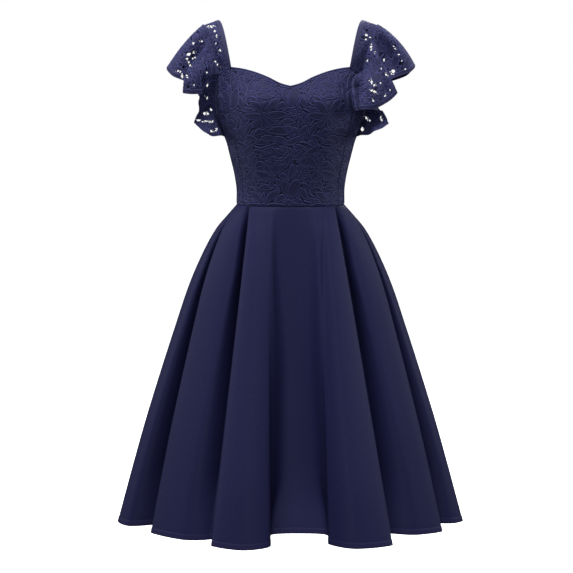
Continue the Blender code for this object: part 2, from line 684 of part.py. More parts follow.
def main():
    clear_scene()
    lace = make_material("navy_lace", (0.020, 0.021, 0.085), 0.70)
    satin = make_material("navy_satin", (0.016, 0.017, 0.070), 0.48)
    binding = make_material("navy_binding", (0.022, 0.023, 0.090), 0.60)
    metal = make_material("zip_metal", (0.10, 0.10, 0.16), 0.35, 1.0)
    build_bodice(lace)
    build_skirt(satin)
    build_straps(lace, binding)
    build_flounces(lace)
    slider, bridge = build_zip(satin, metal)
    bpy.context.view_layer.update()
    join_bridge(slider, bridge)


main()
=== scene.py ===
# Navy cocktail dress: corded lace bodice and flutter sleeves over a pleated satin skirt, zip at the back
import math
import bpy
import numpy as np
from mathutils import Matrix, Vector


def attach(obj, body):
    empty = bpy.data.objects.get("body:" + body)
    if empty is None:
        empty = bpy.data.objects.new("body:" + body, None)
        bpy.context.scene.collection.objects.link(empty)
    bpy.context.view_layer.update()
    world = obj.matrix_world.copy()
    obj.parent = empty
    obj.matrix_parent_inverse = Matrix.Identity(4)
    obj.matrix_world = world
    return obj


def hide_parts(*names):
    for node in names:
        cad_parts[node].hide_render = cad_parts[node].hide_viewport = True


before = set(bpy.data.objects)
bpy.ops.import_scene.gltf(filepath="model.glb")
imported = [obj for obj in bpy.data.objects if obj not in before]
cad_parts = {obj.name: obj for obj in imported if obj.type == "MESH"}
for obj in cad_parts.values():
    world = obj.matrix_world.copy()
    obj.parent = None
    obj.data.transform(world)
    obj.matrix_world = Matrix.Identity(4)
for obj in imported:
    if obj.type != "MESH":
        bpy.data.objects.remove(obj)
bpy.ops.object.select_all(action="DESELECT")
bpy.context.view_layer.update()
print("frame loaded,", len(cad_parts), "solids")

# Metres. The front faces -Y, z = 0 is the top of the shoulder straps.

shot = {"place": (0, -4.2, -0.10), "pitchDown": 6.036, "lens": 128.63, "shiftX": -0.00698,
        "sensor": 36, "clipEnd": 200}

# curves and grids that every cloth shares

uvPerMetre = 10
mirror = np.array([-1, 1, 1])


def between(start, leaving, end, arriving, t):
    # from start at t = 0 to end at t = 1, with its slope at each
    return (start * (2 * t**3 - 3 * t**2 + 1) + leaving * (t**3 - 2 * t**2 + t)
            + end * (3 * t**2 - 2 * t**3) + arriving * (t**3 - t**2))


def smoothCurve(places, values, at, ease=None):
    # smooth line through values at rising places, held level past its ends; a low ease makes a corner
    places = np.asarray(places, float)
    values = np.asarray(values, float)
    at = np.clip(np.asarray(at, float), places[0], places[-1])
    last = len(places) - 1
    k = np.clip(np.searchsorted(places, at, side="right") - 1, 0, last - 1)
    low = np.maximum(np.arange(last + 1) - 1, 0)
    high = np.minimum(np.arange(last + 1) + 1, last)
    run = places[high] - places[low]
    slopes = (values[high] - values[low]) / (run if values.ndim == 1 else run[:, None])
    if ease is not None:
        slopes = slopes * np.asarray(ease)[:, None]
    span = places[k + 1] - places[k]
    t = (at - places[k]) / span
    if values.ndim > 1:
        span, t = span[..., None], t[..., None]
    return between(values[k], slopes[k] * span, values[k + 1], slopes[k + 1] * span, t)


def unit(vectors):
    return vectors / np.maximum(np.linalg.norm(vectors, axis=-1, keepdims=True), 1e-12)


def gridNormals(points):
    # rows run up, columns run towards +X on the front, so the normals point out
    return unit(np.cross(np.gradient(points, axis=1), np.gradient(points, axis=0)))


def lengths(points):
    # how far each point lies from the first, along the line or down each column
    steps = np.linalg.norm(np.diff(points, axis=0), axis=-1)
    return np.concatenate([np.zeros((1, *steps.shape[1:])), np.cumsum(steps, axis=0)])


def flatPlaces(points, startColumn):
    # cloth coordinates: metres along each row from one column, and metres up each column
    along = lengths(points.swapaxes(0, 1)).T
    return np.stack([along - along[:, startColumn:startColumn + 1], lengths(points)], axis=-1)


def smoothStep(value, low, high):
    t = np.clip((value - low) / (high - low), 0, 1)
    return t * t * (3 - 2 * t)


def hump(value, centre, width):
    return np.exp(-(((value - centre) / width) ** 2))


def meshFrom(name, vertices, faces, flat=None, marks=None):
    mesh = bpy.data.meshes.new(name)
    mesh.from_pydata(np.asarray(vertices).tolist(), [], faces)
    mesh.validate()
    if flat is not None:
        corner = np.empty(len(mesh.loops), np.int32)
        mesh.loops.foreach_get("vertex_index", corner)
        places = np.asarray(flat) * uvPerMetre
        mesh.uv_layers.new(name="cloth").data.foreach_set("uv", places[corner].ravel())
    for title, values in (marks or {}).items():
        mark = mesh.attributes.new(title, "FLOAT", "POINT")
        mark.data.foreach_set("value", np.asarray(values, np.float32).ravel())
    mesh.shade_smooth()
    piece = bpy.data.objects.new(name, mesh)
    bpy.context.scene.collection.objects.link(piece)
    return piece


def numbered(points):
    rows, columns = points.shape[:2]
    return np.arange(rows * columns).reshape(rows, columns)


def facesOf(corners):
    return np.stack(corners, axis=-1).reshape(-1, len(corners)).tolist()


def gridFaces(index):
    return facesOf([index[:-1, :-1], index[:-1, 1:], index[1:, 1:], index[1:, :-1]])


def clothGrid(name, points, flat):
    return meshFrom(name, points.reshape(-1, 3), gridFaces(numbered(points)), flat.reshape(-1, 2))


def selectOnly(piece):
    bpy.ops.object.select_all(action="DESELECT")
    bpy.context.view_layer.objects.active = piece
    piece.select_set(True)


def applyModifier(piece, kind, **settings):
    selectOnly(piece)
    modifier = piece.modifiers.new(kind.title(), kind)
    for key, value in settings.items():
        setattr(modifier, key, value)
    bpy.ops.object.modifier_apply(modifier=modifier.name)
    piece.select_set(False)


def thicken(piece, thickness):
    applyModifier(piece, "SOLIDIFY", thickness=thickness, offset=0, use_even_offset=False)


# materials: a spread is the least and the most brightness, a bump its strength and its depth in metres

sheenLook = {"roughness": 0.45, "tint": (0.45, 0.47, 0.85, 1)}
satin = {"lit": (0.0129, 0.0135, 0.0575), "roughness": 0.62, "specular": 0.13, "weave": 900,
         "mottle": 14, "spread": (0.93, 1.07), "bump": (0.10, 0.0002)}
# lace tones: its own thread colours, partly painted highlight on the lighter cords and veins, partly painted
# shade in the low bands and dark grooves
lace = {"ground": (0.0032, 0.0037, 0.0240), "fill": (0.0098, 0.0107, 0.0500),
        "cord": (0.0300, 0.0320, 0.1160), "lowTone": -0.15, "halfTone": 0.35, "roughness": 0.66,
        "sheen": 0.15, "specular": 0.22, "thread": 700, "mottle": 30, "spread": (0.88, 1.12),
        "veinRise": 0.25, "threadRise": 0.25, "bump": (0.9, 0.0011)}
# millimetres inside a motif's edge with the tone and the height there, and from a vein with its strength
laceTones = [(-1.3, "ground"), (-0.6, "low"), (0.4, "cord"), (2.0, "cord"), (3.0, "low"), (4.2, "half"),
             (5.2, "fill")]
laceHeights = [(-1.0, 0.0), (-0.4, 0.0), (0.4, 0.6), (1.3, 1.0), (2.2, 0.5), (2.9, 0.36), (4.2, 0.66),
               (5.4, 0.42)]
veinStrength = [(0.3, 1.0), (1.1, 0.0)]
edgeSpan, veinSpan = (-2, 8), (0, 4)
plainCloth = {"sheen": 0.12, "specular": 0.25, "mottle": 30, "spread": (0.90, 1.10), "depth": 0.0004}
lacquer = {"marks": 900, "detail": 3.0, "spread": (0.88, 1.14), "smoother": 0.06, "rougher": 0.12}


def newMaterial(name, color, roughness, sheen=0.0, specular=0.5):
    material = bpy.data.materials.new(name)
    material.use_nodes = True
    shader = material.node_tree.nodes["Principled BSDF"]
    shader.inputs["Base Color"].default_value = (*color, 1)
    shader.inputs["Roughness"].default_value = roughness
    shader.inputs["Specular IOR Level"].default_value = specular
    shader.inputs["Sheen Weight"].default_value = sheen
    shader.inputs["Sheen Roughness"].default_value = sheenLook["roughness"]
    shader.inputs["Sheen Tint"].default_value = sheenLook["tint"]
    return material


def addNode(material, kind, inputs=(), **settings):
    # inputs are numbers, colours or the outputs of other nodes
    node = material.node_tree.nodes.new("ShaderNode" + kind)
    for key, value in settings.items():
        setattr(node, key, value)
    for key, value in dict(inputs).items():
        if isinstance(value, bpy.types.NodeSocket):
            material.node_tree.links.new(value, node.inputs[key])
        else:
            node.inputs[key].default_value = value
    return node


def link(material, output, socket):
    shader = material.node_tree.nodes["Principled BSDF"]
    material.node_tree.links.new(output, shader.inputs[socket])


def ramp(material, value, stops, low, high):
    # an eased curve of value from low to high: stops are a place and a grey or a colour
    scaled = addNode(material, "MapRange", {"Value": value, "From Min": low, "From Max": high})
    node = addNode(material, "ValToRGB", {"Fac": scaled.outputs["Result"]})
    node.color_ramp.interpolation = "EASE"
    elements = node.color_ramp.elements
    while len(elements) < len(stops):
        elements.new(0.5)
    for element, (place, color) in zip(elements, stops):
        element.position = (place - low) / (high - low)
        element.color = (*color, 1) if isinstance(color, tuple) else (color, color, color, 1)
    return node.outputs["Color"]


def worked(material, operation, *values):
    return addNode(material, "Math", enumerate(values), operation=operation).outputs["Value"]


def clothNoise(material, scale, detail=2.0, stretch=(1, 1, 1)):
    place = addNode(material, "UVMap", uv_map="cloth")
    wide = addNode(material, "Mapping", {"Vector": place.outputs["UV"], "Scale": stretch})
    return addNode(material, "TexNoise", {"Vector": wide.outputs["Vector"], "Scale": scale, "Detail": detail})


def shaded(material, color, noise, least, most):
    # colour varied between two brightnesses by a noise
    spread = addNode(material, "MapRange", {"Value": noise.outputs["Fac"], "From Min": 0.3, "From Max": 0.7,
                                            "To Min": least, "To Max": most})
    node = addNode(material, "VectorMath", {0: color, "Scale": spread.outputs["Result"]}, operation="SCALE")
    link(material, node.outputs["Vector"], "Base Color")


def bumped(material, height, strength, distance):
    bump = addNode(material, "Bump", {"Height": height, "Strength": strength, "Distance": distance})
    link(material, bump.outputs["Normal"], "Normal")
    return material


def makeSatin():
    material = newMaterial("navySatin", satin["lit"], satin["roughness"], specular=satin["specular"])
    shaded(material, satin["lit"], clothNoise(material, satin["mottle"]), *satin["spread"])
    warp = clothNoise(material, satin["weave"] / uvPerMetre, 1.0, stretch=(4, 1, 1))
    weft = clothNoise(material, satin["weave"] / uvPerMetre, 1.0, stretch=(1, 3, 1))
    return bumped(material, worked(material, "ADD", warp.outputs["Fac"], weft.outputs["Fac"]), *satin["bump"])


def makeLaceCloth():
    material = newMaterial("cordedLace", lace["fill"], lace["roughness"], lace["sheen"], lace["specular"])
    edge = addNode(material, "Attribute", attribute_name="edge").outputs["Fac"]
    vein = addNode(material, "Attribute", attribute_name="vein").outputs["Fac"]
    tones = {name: lace[name] for name in ("ground", "fill", "cord")}
    for name, share in (("low", lace["lowTone"]), ("half", lace["halfTone"])):
        tones[name] = tuple(f + (c - f) * share for f, c in zip(tones["fill"], tones["cord"]))
    # lighter cords partly a painted highlight, the low bands beside them and the ground in the grooves darker
    # as partly painted shade
    motif = ramp(material, edge, [(place, tones[name]) for place, name in laceTones], *edgeSpan)
    veins = ramp(material, vein, veinStrength, *veinSpan)
    mixed = addNode(material, "Mix", {0: veins, 6: motif, 7: (*tones["half"], 1)}, data_type="RGBA")
    shaded(material, mixed.outputs[2], clothNoise(material, lace["mottle"]), *lace["spread"])
    body = ramp(material, edge, laceHeights, *edgeSpan)
    raised = worked(material, "MULTIPLY_ADD", veins, lace["veinRise"], body)
    threads = clothNoise(material, lace["thread"] / uvPerMetre, 1.0, stretch=(3, 1, 1))
    height = worked(material, "MULTIPLY_ADD", threads.outputs["Fac"], lace["threadRise"], raised)
    return bumped(material, height, *lace["bump"])


def makePlainCloth(name, color, roughness, thread, strength):
    material = newMaterial(name, color, roughness, plainCloth["sheen"], plainCloth["specular"])
    shaded(material, color, clothNoise(material, plainCloth["mottle"]), *plainCloth["spread"])
    weave = clothNoise(material, thread, 1.0, stretch=(1, 4, 1))
    return bumped(material, weave.outputs["Fac"], strength, plainCloth["depth"])


def makeLacquer(name, color, roughness):
    # thin coloured lacquer, a little uneven, with its shine broken by fine handling marks
    material = newMaterial(name, color, roughness)
    place = addNode(material, "TexCoord").outputs["Object"]
    marks = addNode(material, "TexNoise", {"Vector": place, "Scale": lacquer["marks"],
                                           "Detail": lacquer["detail"]})
    shaded(material, color, marks, *lacquer["spread"])
    rough = addNode(material, "MapRange", {"Value": marks.outputs["Fac"],
                                           "To Min": roughness - lacquer["smoother"],
                                           "To Max": roughness + lacquer["rougher"]})
    link(material, rough.outputs["Result"], "Roughness")
    return material


satinCloth = makeSatin()
laceCloth = makeLaceCloth()
bindingCloth = makePlainCloth("biasBinding", (0.0230, 0.0236, 0.0800), 0.58, 60, 0.25)
tapeCloth = makePlainCloth("zipTapeWeave", (0.0110, 0.0115, 0.0450), 0.80, 120, 0.5)
coilPlastic = makeLacquer("zipCoil", (0.0120, 0.0125, 0.0460), 0.42)
zipMetal = makeLacquer("zipLacquer", (0.0190, 0.0200, 0.0720), 0.30)

# the lace: one repeat of its pattern, drawn as distances in millimetres

laceRepeat = {"width": 136.0, "height": 188.0, "step": 0.5, "bandGroove": 1.5, "cordedFrom": 4.4,
              "plain": -0.1, "ground": -30.0, "offVein": 4.0, "far": 99, "pairTurn": 24}
petalShape = {"points": 14, "lean": 0.82, "blunt": 0.72, "foot": 0.72, "swell": 0.42, "manyVeins": 15,
              "veinPlaces": (0.08, 0.25, 0.45, 0.60), "veinEnd": 0.76, "veinShorter": 0.09,
              "veinApart": 0.16, "veinLean": 0.8}
# leaves that fill the ground: most of them, degrees between the directions tried, millimetres looked at,
# then the limit, the share of the room and the surplus of a leaf's length and of its width
fillers = {"most": 90, "turn": 20, "reach": 15, "open": 3, "length": (34, 3.4, 8), "width": (15, 1.9, 2),
           "bend": 1.5}
eyes = {"large": 4.2, "small": 3.2}
# flowers: size, centre, then each petal's direction in degrees, length, width and bend
laceFlowers = [
    ("large", (0, 0), [(40, 46, 17, 3), (-3, 49, 19, -3), (-46, 34, 16, 2), (-96, 30, 14, 3),
                       (184, 46, 18, 3), (232, 36, 16, -3), (140, 40, 17, -3), (88, 26, 12, 2)]),
    ("large", (23, 58), [(166, 44, 19, 3), (203, 40, 18, -3), (128, 34, 15, 3), (88, 30, 14, -2),
                         (50, 34, 16, 3), (-62, 22, 12, 2), (248, 22, 12, -2)]),
    ("small", (72, -3), [(80, 16, 13, 0), (8, 15, 12, 0), (-64, 15, 12, 0), (224, 15, 12, 0),
                         (152, 16, 13, 0)]),
    ("small", (76, 67), [(50, 16, 13, 0), (-22, 15, 12, 0), (-94, 17, 13, 0), (194, 15, 12, 0),
                         (122, 16, 13, 0)]),
    ("large", (112, -112), [(20, 30, 15, 2), (75, 28, 15, -2), (130, 34, 16, 2), (188, 32, 15, -2),
                            (240, 30, 15, 2), (300, 32, 16, -2)]),
]
# single leaves: base, direction, length, width, bend
laceLeaves = [
    ((38, -64), 24, 44, 15, -4), ((-6, -47), -20, 36, 13, 4), ((80, -86), 34, 44, 15, -4),
    ((86, -52), -4, 40, 13, 5), ((6, -36), -8, 48, 20, 4), ((98, 30), 70, 34, 14, 4),
    ((104, 18), 12, 30, 12, -4), ((60, -30), -50, 26, 12, 3), ((46, -88), 150, 30, 12, -3),
    ((20, -78), 200, 32, 13, 4), ((96, 52), 10, 26, 13, 3), ((58, 92), 40, 30, 13, -3),
    ((30, 96), 165, 30, 13, 3), ((72, -124), 160, 26, 12, 3),
]
# pairs of petals that grow from one point: the point, direction, length, width
lacePairs = [((57, 12), 94, 44, 25), ((-46, -24), 250, 30, 17), ((60, -104), 280, 32, 18)]
# curled stems: points along the middle, half width
laceStems = [
    ([(72, -18), (70, -36), (60, -52), (62, -70), (72, -86), (68, -100)], 2.3),
    ([(50, -50), (66, -58), (86, -60), (104, -70), (112, -84)], 2.1),
    ([(-20, -34), (-30, -48), (-24, -62), (-8, -70), (10, -66), (28, -60)], 2.1),
    ([(84, 8), (98, 2), (104, -12), (96, -24), (84, -22), (82, -12)], 2.0),
    ([(92, 66), (104, 76), (120, 74), (124, 62), (114, 56)], 2.0),
    ([(50, -78), (40, -90), (26, -92), (14, -84)], 2.0),
    ([(60, 50), (70, 44), (84, 44), (94, 36)], 2.0),
    ([(-12, 22), (-22, 34), (-36, 34), (-42, 24), (-34, 16)], 2.0),
]


def turned(base, direction, along, across):
    turn = math.radians(direction)
    return np.stack([base[0] + along * math.cos(turn) - across * math.sin(turn),
                     base[1] + along * math.sin(turn) + across * math.cos(turn)], axis=-1)


def petalOutline(base, direction, length, width, bend):
    t = (1 - np.cos(np.linspace(0, np.pi, petalShape["points"]))) / 2
    half = width / 2 * np.sin(np.pi * t ** petalShape["lean"]) ** petalShape["blunt"]
    half = half * (petalShape["foot"] + petalShape["swell"] * t)
    side = bend * np.sin(np.pi * t)
    along = np.concatenate([t, t[-2:0:-1]]) * length
    return turned(base, direction, along, np.concatenate([side + half, (side - half)[-2:0:-1]]))


def lineDistance(px, py, points, closed=False):
    # distance to a line, and for an outline its sign too: positive inside
    ends = np.roll(points, -1, axis=0) if closed else points[1:]
    starts = points if closed else points[:-1]
    best = np.full(px.shape, 1e6)
    inside = np.zeros(px.shape, bool)
    for (ax, ay), (bx, by) in zip(starts, ends):
        ex, ey = bx - ax, by - ay
        share = np.clip(((px - ax) * ex + (py - ay) * ey) / (ex * ex + ey * ey + 1e-9), 0, 1)
        best = np.minimum(best, (px - ax - share * ex) ** 2 + (py - ay - share * ey) ** 2)
        if closed and ay != by:
            inside ^= ((ay > py) != (by > py)) & (px < ax + (py - ay) * ex / ey)
    best = np.sqrt(best)
    return np.where(inside, best, -best) if closed else best


def curlLine(points, steps=8):
    points = np.array(points, float)
    ring = np.concatenate([2 * points[:1] - points[1:2], points, 2 * points[-1:] - points[-2:-1]])
    t = np.arange(steps)[:, None] / steps
    line = []
    for a, b, c, d in zip(ring, ring[1:], ring[2:], ring[3:]):
        line.append(between(b, (c - a) / 2, c, (d - b) / 2, t))
    return np.concatenate(line + [points[-1:]])


def drawLace(leastGround, groove):
    step = laceRepeat["step"]
    wide, high = int(laceRepeat["width"] / step), int(laceRepeat["height"] / step)
    edge = np.full((high, wide), laceRepeat["ground"])
    vein = np.full((high, wide), laceRepeat["offVein"])

    def window(points, reach=9):
        low = np.floor((points.min(axis=0) - reach) / step).astype(int)
        top = np.ceil((points.max(axis=0) + reach) / step).astype(int)
        columns, rows = np.arange(low[0], top[0]), np.arange(low[1], top[1])
        px, py = np.meshgrid(columns * step, rows * step)
        return np.ix_(rows % high, columns % wide), px, py

    def lay(place, shape, line=None):
        # a lower shape stops a groove short of those laid before it
        before = edge[place]
        cut = np.minimum(shape, -before - groove)
        seen = cut > before
        edge[place] = np.where(seen, cut, before)
        if line is not None:
            vein[place] = np.where(seen & (cut > 0), np.minimum(line, laceRepeat["offVein"]), vein[place])

    def petal(base, direction, length, width, bend, lines=1, most=laceRepeat["far"]):
        outline = petalOutline(base, direction, length, width, bend)
        place, px, py = window(outline)
        line = np.full(px.shape, 9.0)
        for k in range(lines):
            offset = k - (lines - 1) / 2
            end = petalShape["veinEnd"] - petalShape["veinShorter"] * abs(offset)
            t = np.array([*petalShape["veinPlaces"], end])
            apart = offset * width * petalShape["veinApart"] * np.sin(np.pi * t ** petalShape["veinLean"])
            across = bend * np.sin(np.pi * t) + apart
            line = np.minimum(line, lineDistance(px, py, turned(base, direction, length * t, across)))
        lay(place, np.minimum(lineDistance(px, py, outline, closed=True), most), line)

    for kind, centre, petals in laceFlowers:
        eye = eyes[kind]
        place, px, py = window(np.array([centre, centre], float))
        lay(place, eye - np.hypot(px - centre[0], py - centre[1]))
        for direction, length, width, bend in petals:
            base = turned(centre, direction, eye, 0)
            petal(base, direction, length - eye, width, bend, 3 if width > petalShape["manyVeins"] else 1)
    for base, direction, length, width in lacePairs:
        for side in (-1, 1):
            petal(base, direction + side * laceRepeat["pairTurn"], length, width, -3 * side, 3)
    for leaf in laceLeaves:
        petal(*leaf)
    for points, half in laceStems:
        line = curlLine(points)
        place, px, py = window(line)
        away = lineDistance(px, py, line)
        lay(place, half - away, away + 0.4)
    # small leaves fill the ground, the widest gaps first, along each gap's longest way
    turns = np.radians(np.arange(0, 180, fillers["turn"]))[:, None]
    reach = np.arange(-fillers["reach"], fillers["reach"] + 1) / step
    for k in range(fillers["most"]):
        row, column = np.unravel_index(np.argmin(edge), edge.shape)
        room = -edge[row, column]
        if room < leastGround:
            break
        rows = np.round(row + reach * np.sin(turns)).astype(int) % high
        columns = np.round(column + reach * np.cos(turns)).astype(int) % wide
        free = np.clip(-edge[rows, columns], 0, fillers["open"]).sum(axis=1)
        direction = fillers["turn"] * int(np.argmax(free))
        length, width = (min(limit, share * room + more)
                         for limit, share, more in (fillers["length"], fillers["width"]))
        base = turned((column * step, row * step), direction, -length / 2, 0)
        most = laceRepeat["far" if room > laceRepeat["cordedFrom"] else "plain"]
        petal(base, direction, length, width, fillers["bend"], most=most)
    return edge, vein


def laceAt(cloth, x, y):
    # the pattern at places of the cloth in millimetres, repeated both ways
    step = laceRepeat["step"]
    high, wide = cloth[0].shape
    x, y = x / step, y / step
    column, row = np.floor(x).astype(int), np.floor(y).astype(int)
    fx, fy = x - column, y - row
    here, right = column % wide, (column + 1) % wide
    below, above = row % high, (row + 1) % high
    found = []
    for field in cloth:
        low = field[below, here] * (1 - fx) + field[below, right] * fx
        top = field[above, here] * (1 - fx) + field[above, right] * fx
        found.append(low * (1 - fy) + top * fy)
    return found


def laceRelief(edge, vein):
    # height in metres: cord round each motif, a finer one inside it, veins, and a slight crown
    height = laceLift["motif"] * smoothStep(edge, *laceLift["motifFrom"])
    for high, place, width in laceLift["cords"]:
        height = height + high * hump(edge, place, width)
    high, width = laceLift["vein"]
    height = height + high * hump(vein, 0, width) * smoothStep(edge, *laceLift["veinFrom"])
    high, reach = laceLift["crown"]
    height = height + high * (1 - np.exp(-np.clip(edge, 0, laceRepeat["far"]) / reach))
    return 0.001 * height


def withBand(edge, vein, away, width):
    # a plain corded band along an edge of the cloth
    fromMiddle = np.abs(away - width / 2)
    band = width / 2 - fromMiddle
    apart = np.minimum(edge, -band - laceRepeat["bandGroove"])
    line = np.minimum(laceRepeat["offVein"], fromMiddle + 0.3)
    return np.maximum(apart, band), np.where(band > 0, line, vein)


# relief in millimetres: first the height, then where it lies inside the edge, its width or its reach
laceLift = {"motif": 0.30, "motifFrom": (-0.6, 0.5), "cords": ((0.60, 1.3, 1.0), (0.32, 4.2, 0.9)),
            "vein": (0.28, 0.9), "veinFrom": (1.5, 2.5), "crown": (0.25, 6)}
denseLace = drawLace(leastGround=3.1, groove=1.3)
openLace = drawLace(leastGround=4.8, groove=2.4)
print("lace drawn")

# bodice: metres, but millimetres for the last row

bodice = {
    "waistZ": -0.374, "roundness": 0.87, "cupX": 0.066, "cupReach": 0.044, "cupFade": 2.5, "skip": 6,
    "halfGirth": 0.43, "panelHeight": 0.25, "outside": 0.0002, "inside": 0.0008, "seamDip": 0.0010,
    "topBand": 3.2, "seamGap": 1.1, "seamSteep": 1.6, "seamReach": 4.5, "liningMark": 6.0,
}
# height, half width, front, back, cup
bodiceSections = np.array([
    (-0.374, 0.1100, 0.0880, 0.082, 0.0000), (-0.341, 0.1100, 0.0920, 0.083, 0.0012),
    (-0.308, 0.1150, 0.0968, 0.085, 0.0034), (-0.275, 0.1230, 0.1020, 0.089, 0.0064),
    (-0.243, 0.1315, 0.1068, 0.093, 0.0098), (-0.216, 0.1420, 0.1105, 0.096, 0.0132),
    (-0.182, 0.1508, 0.1145, 0.0992, 0.0170), (-0.166, 0.1523, 0.1158, 0.1003, 0.0184),
    (-0.156, 0.1529, 0.1148, 0.1009, 0.0182), (-0.146, 0.1530, 0.1110, 0.1013, 0.0170),
    (-0.125, 0.1530, 0.1020, 0.102, 0.0128), (-0.092, 0.1520, 0.0930, 0.102, 0.0030),
])
strapFeet = {"innerFront": 50, "outerFront": 70, "outerBack": 110, "innerBack": 126}
# top edge: angle from the front, height
bodiceTop = np.array([
    (0, -0.1310), (6, -0.1250), (14, -0.1135), (25, -0.1030), (37, -0.0965), (50, -0.0935),
    (70, -0.1080), (75, -0.1450), (81, -0.1830), (90, -0.2020), (99, -0.1860), (105, -0.1520),
    (110, -0.1200), (126, -0.1050), (142, -0.1260), (160, -0.1440), (180, -0.1520),
])
# lines down the bodice: angle at the waist, angle at the top
bodiceLines = {
    "centreFront": (0, 0), "princess": (60, 50), "strapOuter": (74, 70), "side": (92, 90),
    "backStrapOuter": (107, 110), "backStrapInner": (122, 126), "centreBack": (180, 180),
}


def rounded(value):
    return np.copysign(np.abs(value) ** bodice["roundness"], value)


def bodicePoint(angle, z):
    heights = bodiceSections[:, 0]
    halfWidth, front, back, cup = (smoothCurve(heights, bodiceSections[:, k], z) for k in (1, 2, 3, 4))
    turn = np.radians(angle)
    x = halfWidth * rounded(np.sin(turn))
    forward = rounded(np.cos(turn))
    y = -forward * np.where(forward > 0, front, back)
    swell = cup * hump(np.abs(x), bodice["cupX"], bodice["cupReach"])
    y = y - np.where(forward > 0, swell * np.minimum(1, forward * bodice["cupFade"]), 0)
    return np.stack(np.broadcast_arrays(x, y, z), axis=-1)


def topEdge(angle):
    side = np.abs(np.asarray(angle, float))
    corners = (0, 50, 70, 110, 126, 180)
    height = np.zeros_like(side)
    for low, high in zip(corners, corners[1:]):
        rows = bodiceTop[(bodiceTop[:, 0] >= low) & (bodiceTop[:, 0] <= high)]
        here = (side >= low) & (side <= high)
        height = np.where(here, smoothCurve(rows[:, 0], rows[:, 1], side), height)
    return height


def bodicePanel(fromLine, toLine, side, step):
    # middle surface between two lines, rows up from the waist, columns towards +X on the front
    names = list(bodiceLines)
    first, last = names.index(fromLine), names.index(toLine)
    waist, top = np.array([bodiceLines[name] for name in names[first:last + 1]], float).T
    if side < 0:
        waist, top = -waist[::-1], -top[::-1]
    if fromLine == "centreFront":
        waist, top = np.concatenate([-waist[::-1], waist[1:]]), np.concatenate([-top[::-1], top[1:]])
    middle = (waist + top) / 2
    width = np.abs(middle[-1] - middle[0]) / 180 * bodice["halfGirth"]
    skip = bodice["skip"]
    columns = int(round(width / step / skip)) * skip + 1
    rows = int(round(bodice["panelHeight"] / step / skip)) * skip + 1
    places = np.linspace(middle[0], middle[-1], columns)
    waistAngle = np.interp(places, middle, waist)
    topAngle = np.interp(places, middle, top)
    up = np.linspace(0, 1, rows)[:, None]
    angle = waistAngle + (topAngle - waistAngle) * up
    z = bodice["waistZ"] + (topEdge(topAngle) - bodice["waistZ"]) * up
    return bodicePoint(angle, z)


def linedShell(name, outer, inner, flat, marks, skip):
    # fine lace outside, plain lining inside, joined by a rim round the edge
    index = numbered(outer)
    coarse = inner[::skip, ::skip]
    under = numbered(coarse) + index.size
    quads = gridFaces(index) + facesOf([under[:-1, :-1], under[1:, :-1], under[1:, 1:], under[:-1, 1:]])

    def rim(fine, plain, flip):
        for k in range(len(plain) - 1):
            ring = fine[k * skip:(k + 1) * skip + 1].tolist() + [int(plain[k + 1]), int(plain[k])]
            quads.append(ring[::-1] if flip else ring)

    rim(index[0], under[0], True)
    rim(index[-1], under[-1], False)
    rim(index[:, 0], under[:, 0], False)
    rim(index[:, -1], under[:, -1], True)
    vertices = np.concatenate([outer.reshape(-1, 3), coarse.reshape(-1, 3)])
    flats = np.concatenate([flat.reshape(-1, 2), flat[::skip, ::skip].reshape(-1, 2)])
    full = {}
    for title, values in marks.items():
        full[title] = np.concatenate([values.ravel(), np.full(under.size, bodice["liningMark"])])
    return meshFrom(name, vertices, quads, flats, full)


# cloth node: lines at its sides, side of the dress, mesh step, the lace's place on it in millimetres,
# and its cut: width and length in metres, and area in square metres
bodicePanels = {
    "bodice_front": ("centreFront", "princess", 1, 0.00095, (55.3, -192), (0.292, 0.286), 0.0692),
    "bodice_side_front_R": ("princess", "side", 1, 0.0010, (20, -150), (0.080, 0.286), 0.0171),
    "bodice_side_front_L": ("princess", "side", -1, 0.0010, (96, -166), (0.080, 0.286), 0.0171),
    "bodice_back_R": ("side", "centreBack", 1, 0.0011, (66, -120), (0.193, 0.273), 0.0419),
    "bodice_back_L": ("side", "centreBack", -1, 0.0011, (4, -120), (0.193, 0.273), 0.0419),
}


def makeBodice():
    for node, (fromLine, toLine, side, step, place, cut, area) in bodicePanels.items():
        middle = bodicePanel(fromLine, toLine, side, step)
        normals = gridNormals(middle)
        flat = flatPlaces(middle, middle.shape[1] // 2)
        edge, vein = laceAt(denseLace, flat[..., 0] * 1000 + place[0], flat[..., 1] * 1000 + place[1])
        fromTop = (flat[-1:, :, 1] - flat[..., 1]) * 1000
        edge, vein = withBand(edge, vein, fromTop, bodice["topBand"])
        across = flat[..., 0]
        fromSeam = np.minimum(across - across[:, :1], across[:, -1:] - across) * 1000
        fromSeam = np.minimum(fromSeam, flat[..., 1] * 1000)
        edge = np.minimum(edge, (fromSeam - bodice["seamGap"]) * bodice["seamSteep"])
        dip = bodice["seamDip"] * (1 - smoothStep(fromSeam, 0, bodice["seamReach"]))
        relief = laceRelief(edge, vein) - dip
        outer = middle + normals * (bodice["outside"] + relief)[..., None]
        inner = middle - normals * bodice["inside"]
        panel = linedShell("lace_" + node, outer, inner, flat, {"edge": edge, "vein": vein}, bodice["skip"])
        panel.data.materials.append(laceCloth)
        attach(panel, "dress")
        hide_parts(node)


makeBodice()
print("bodice sewn")

# skirt: metres, and shares of the way down from the waist to the hem

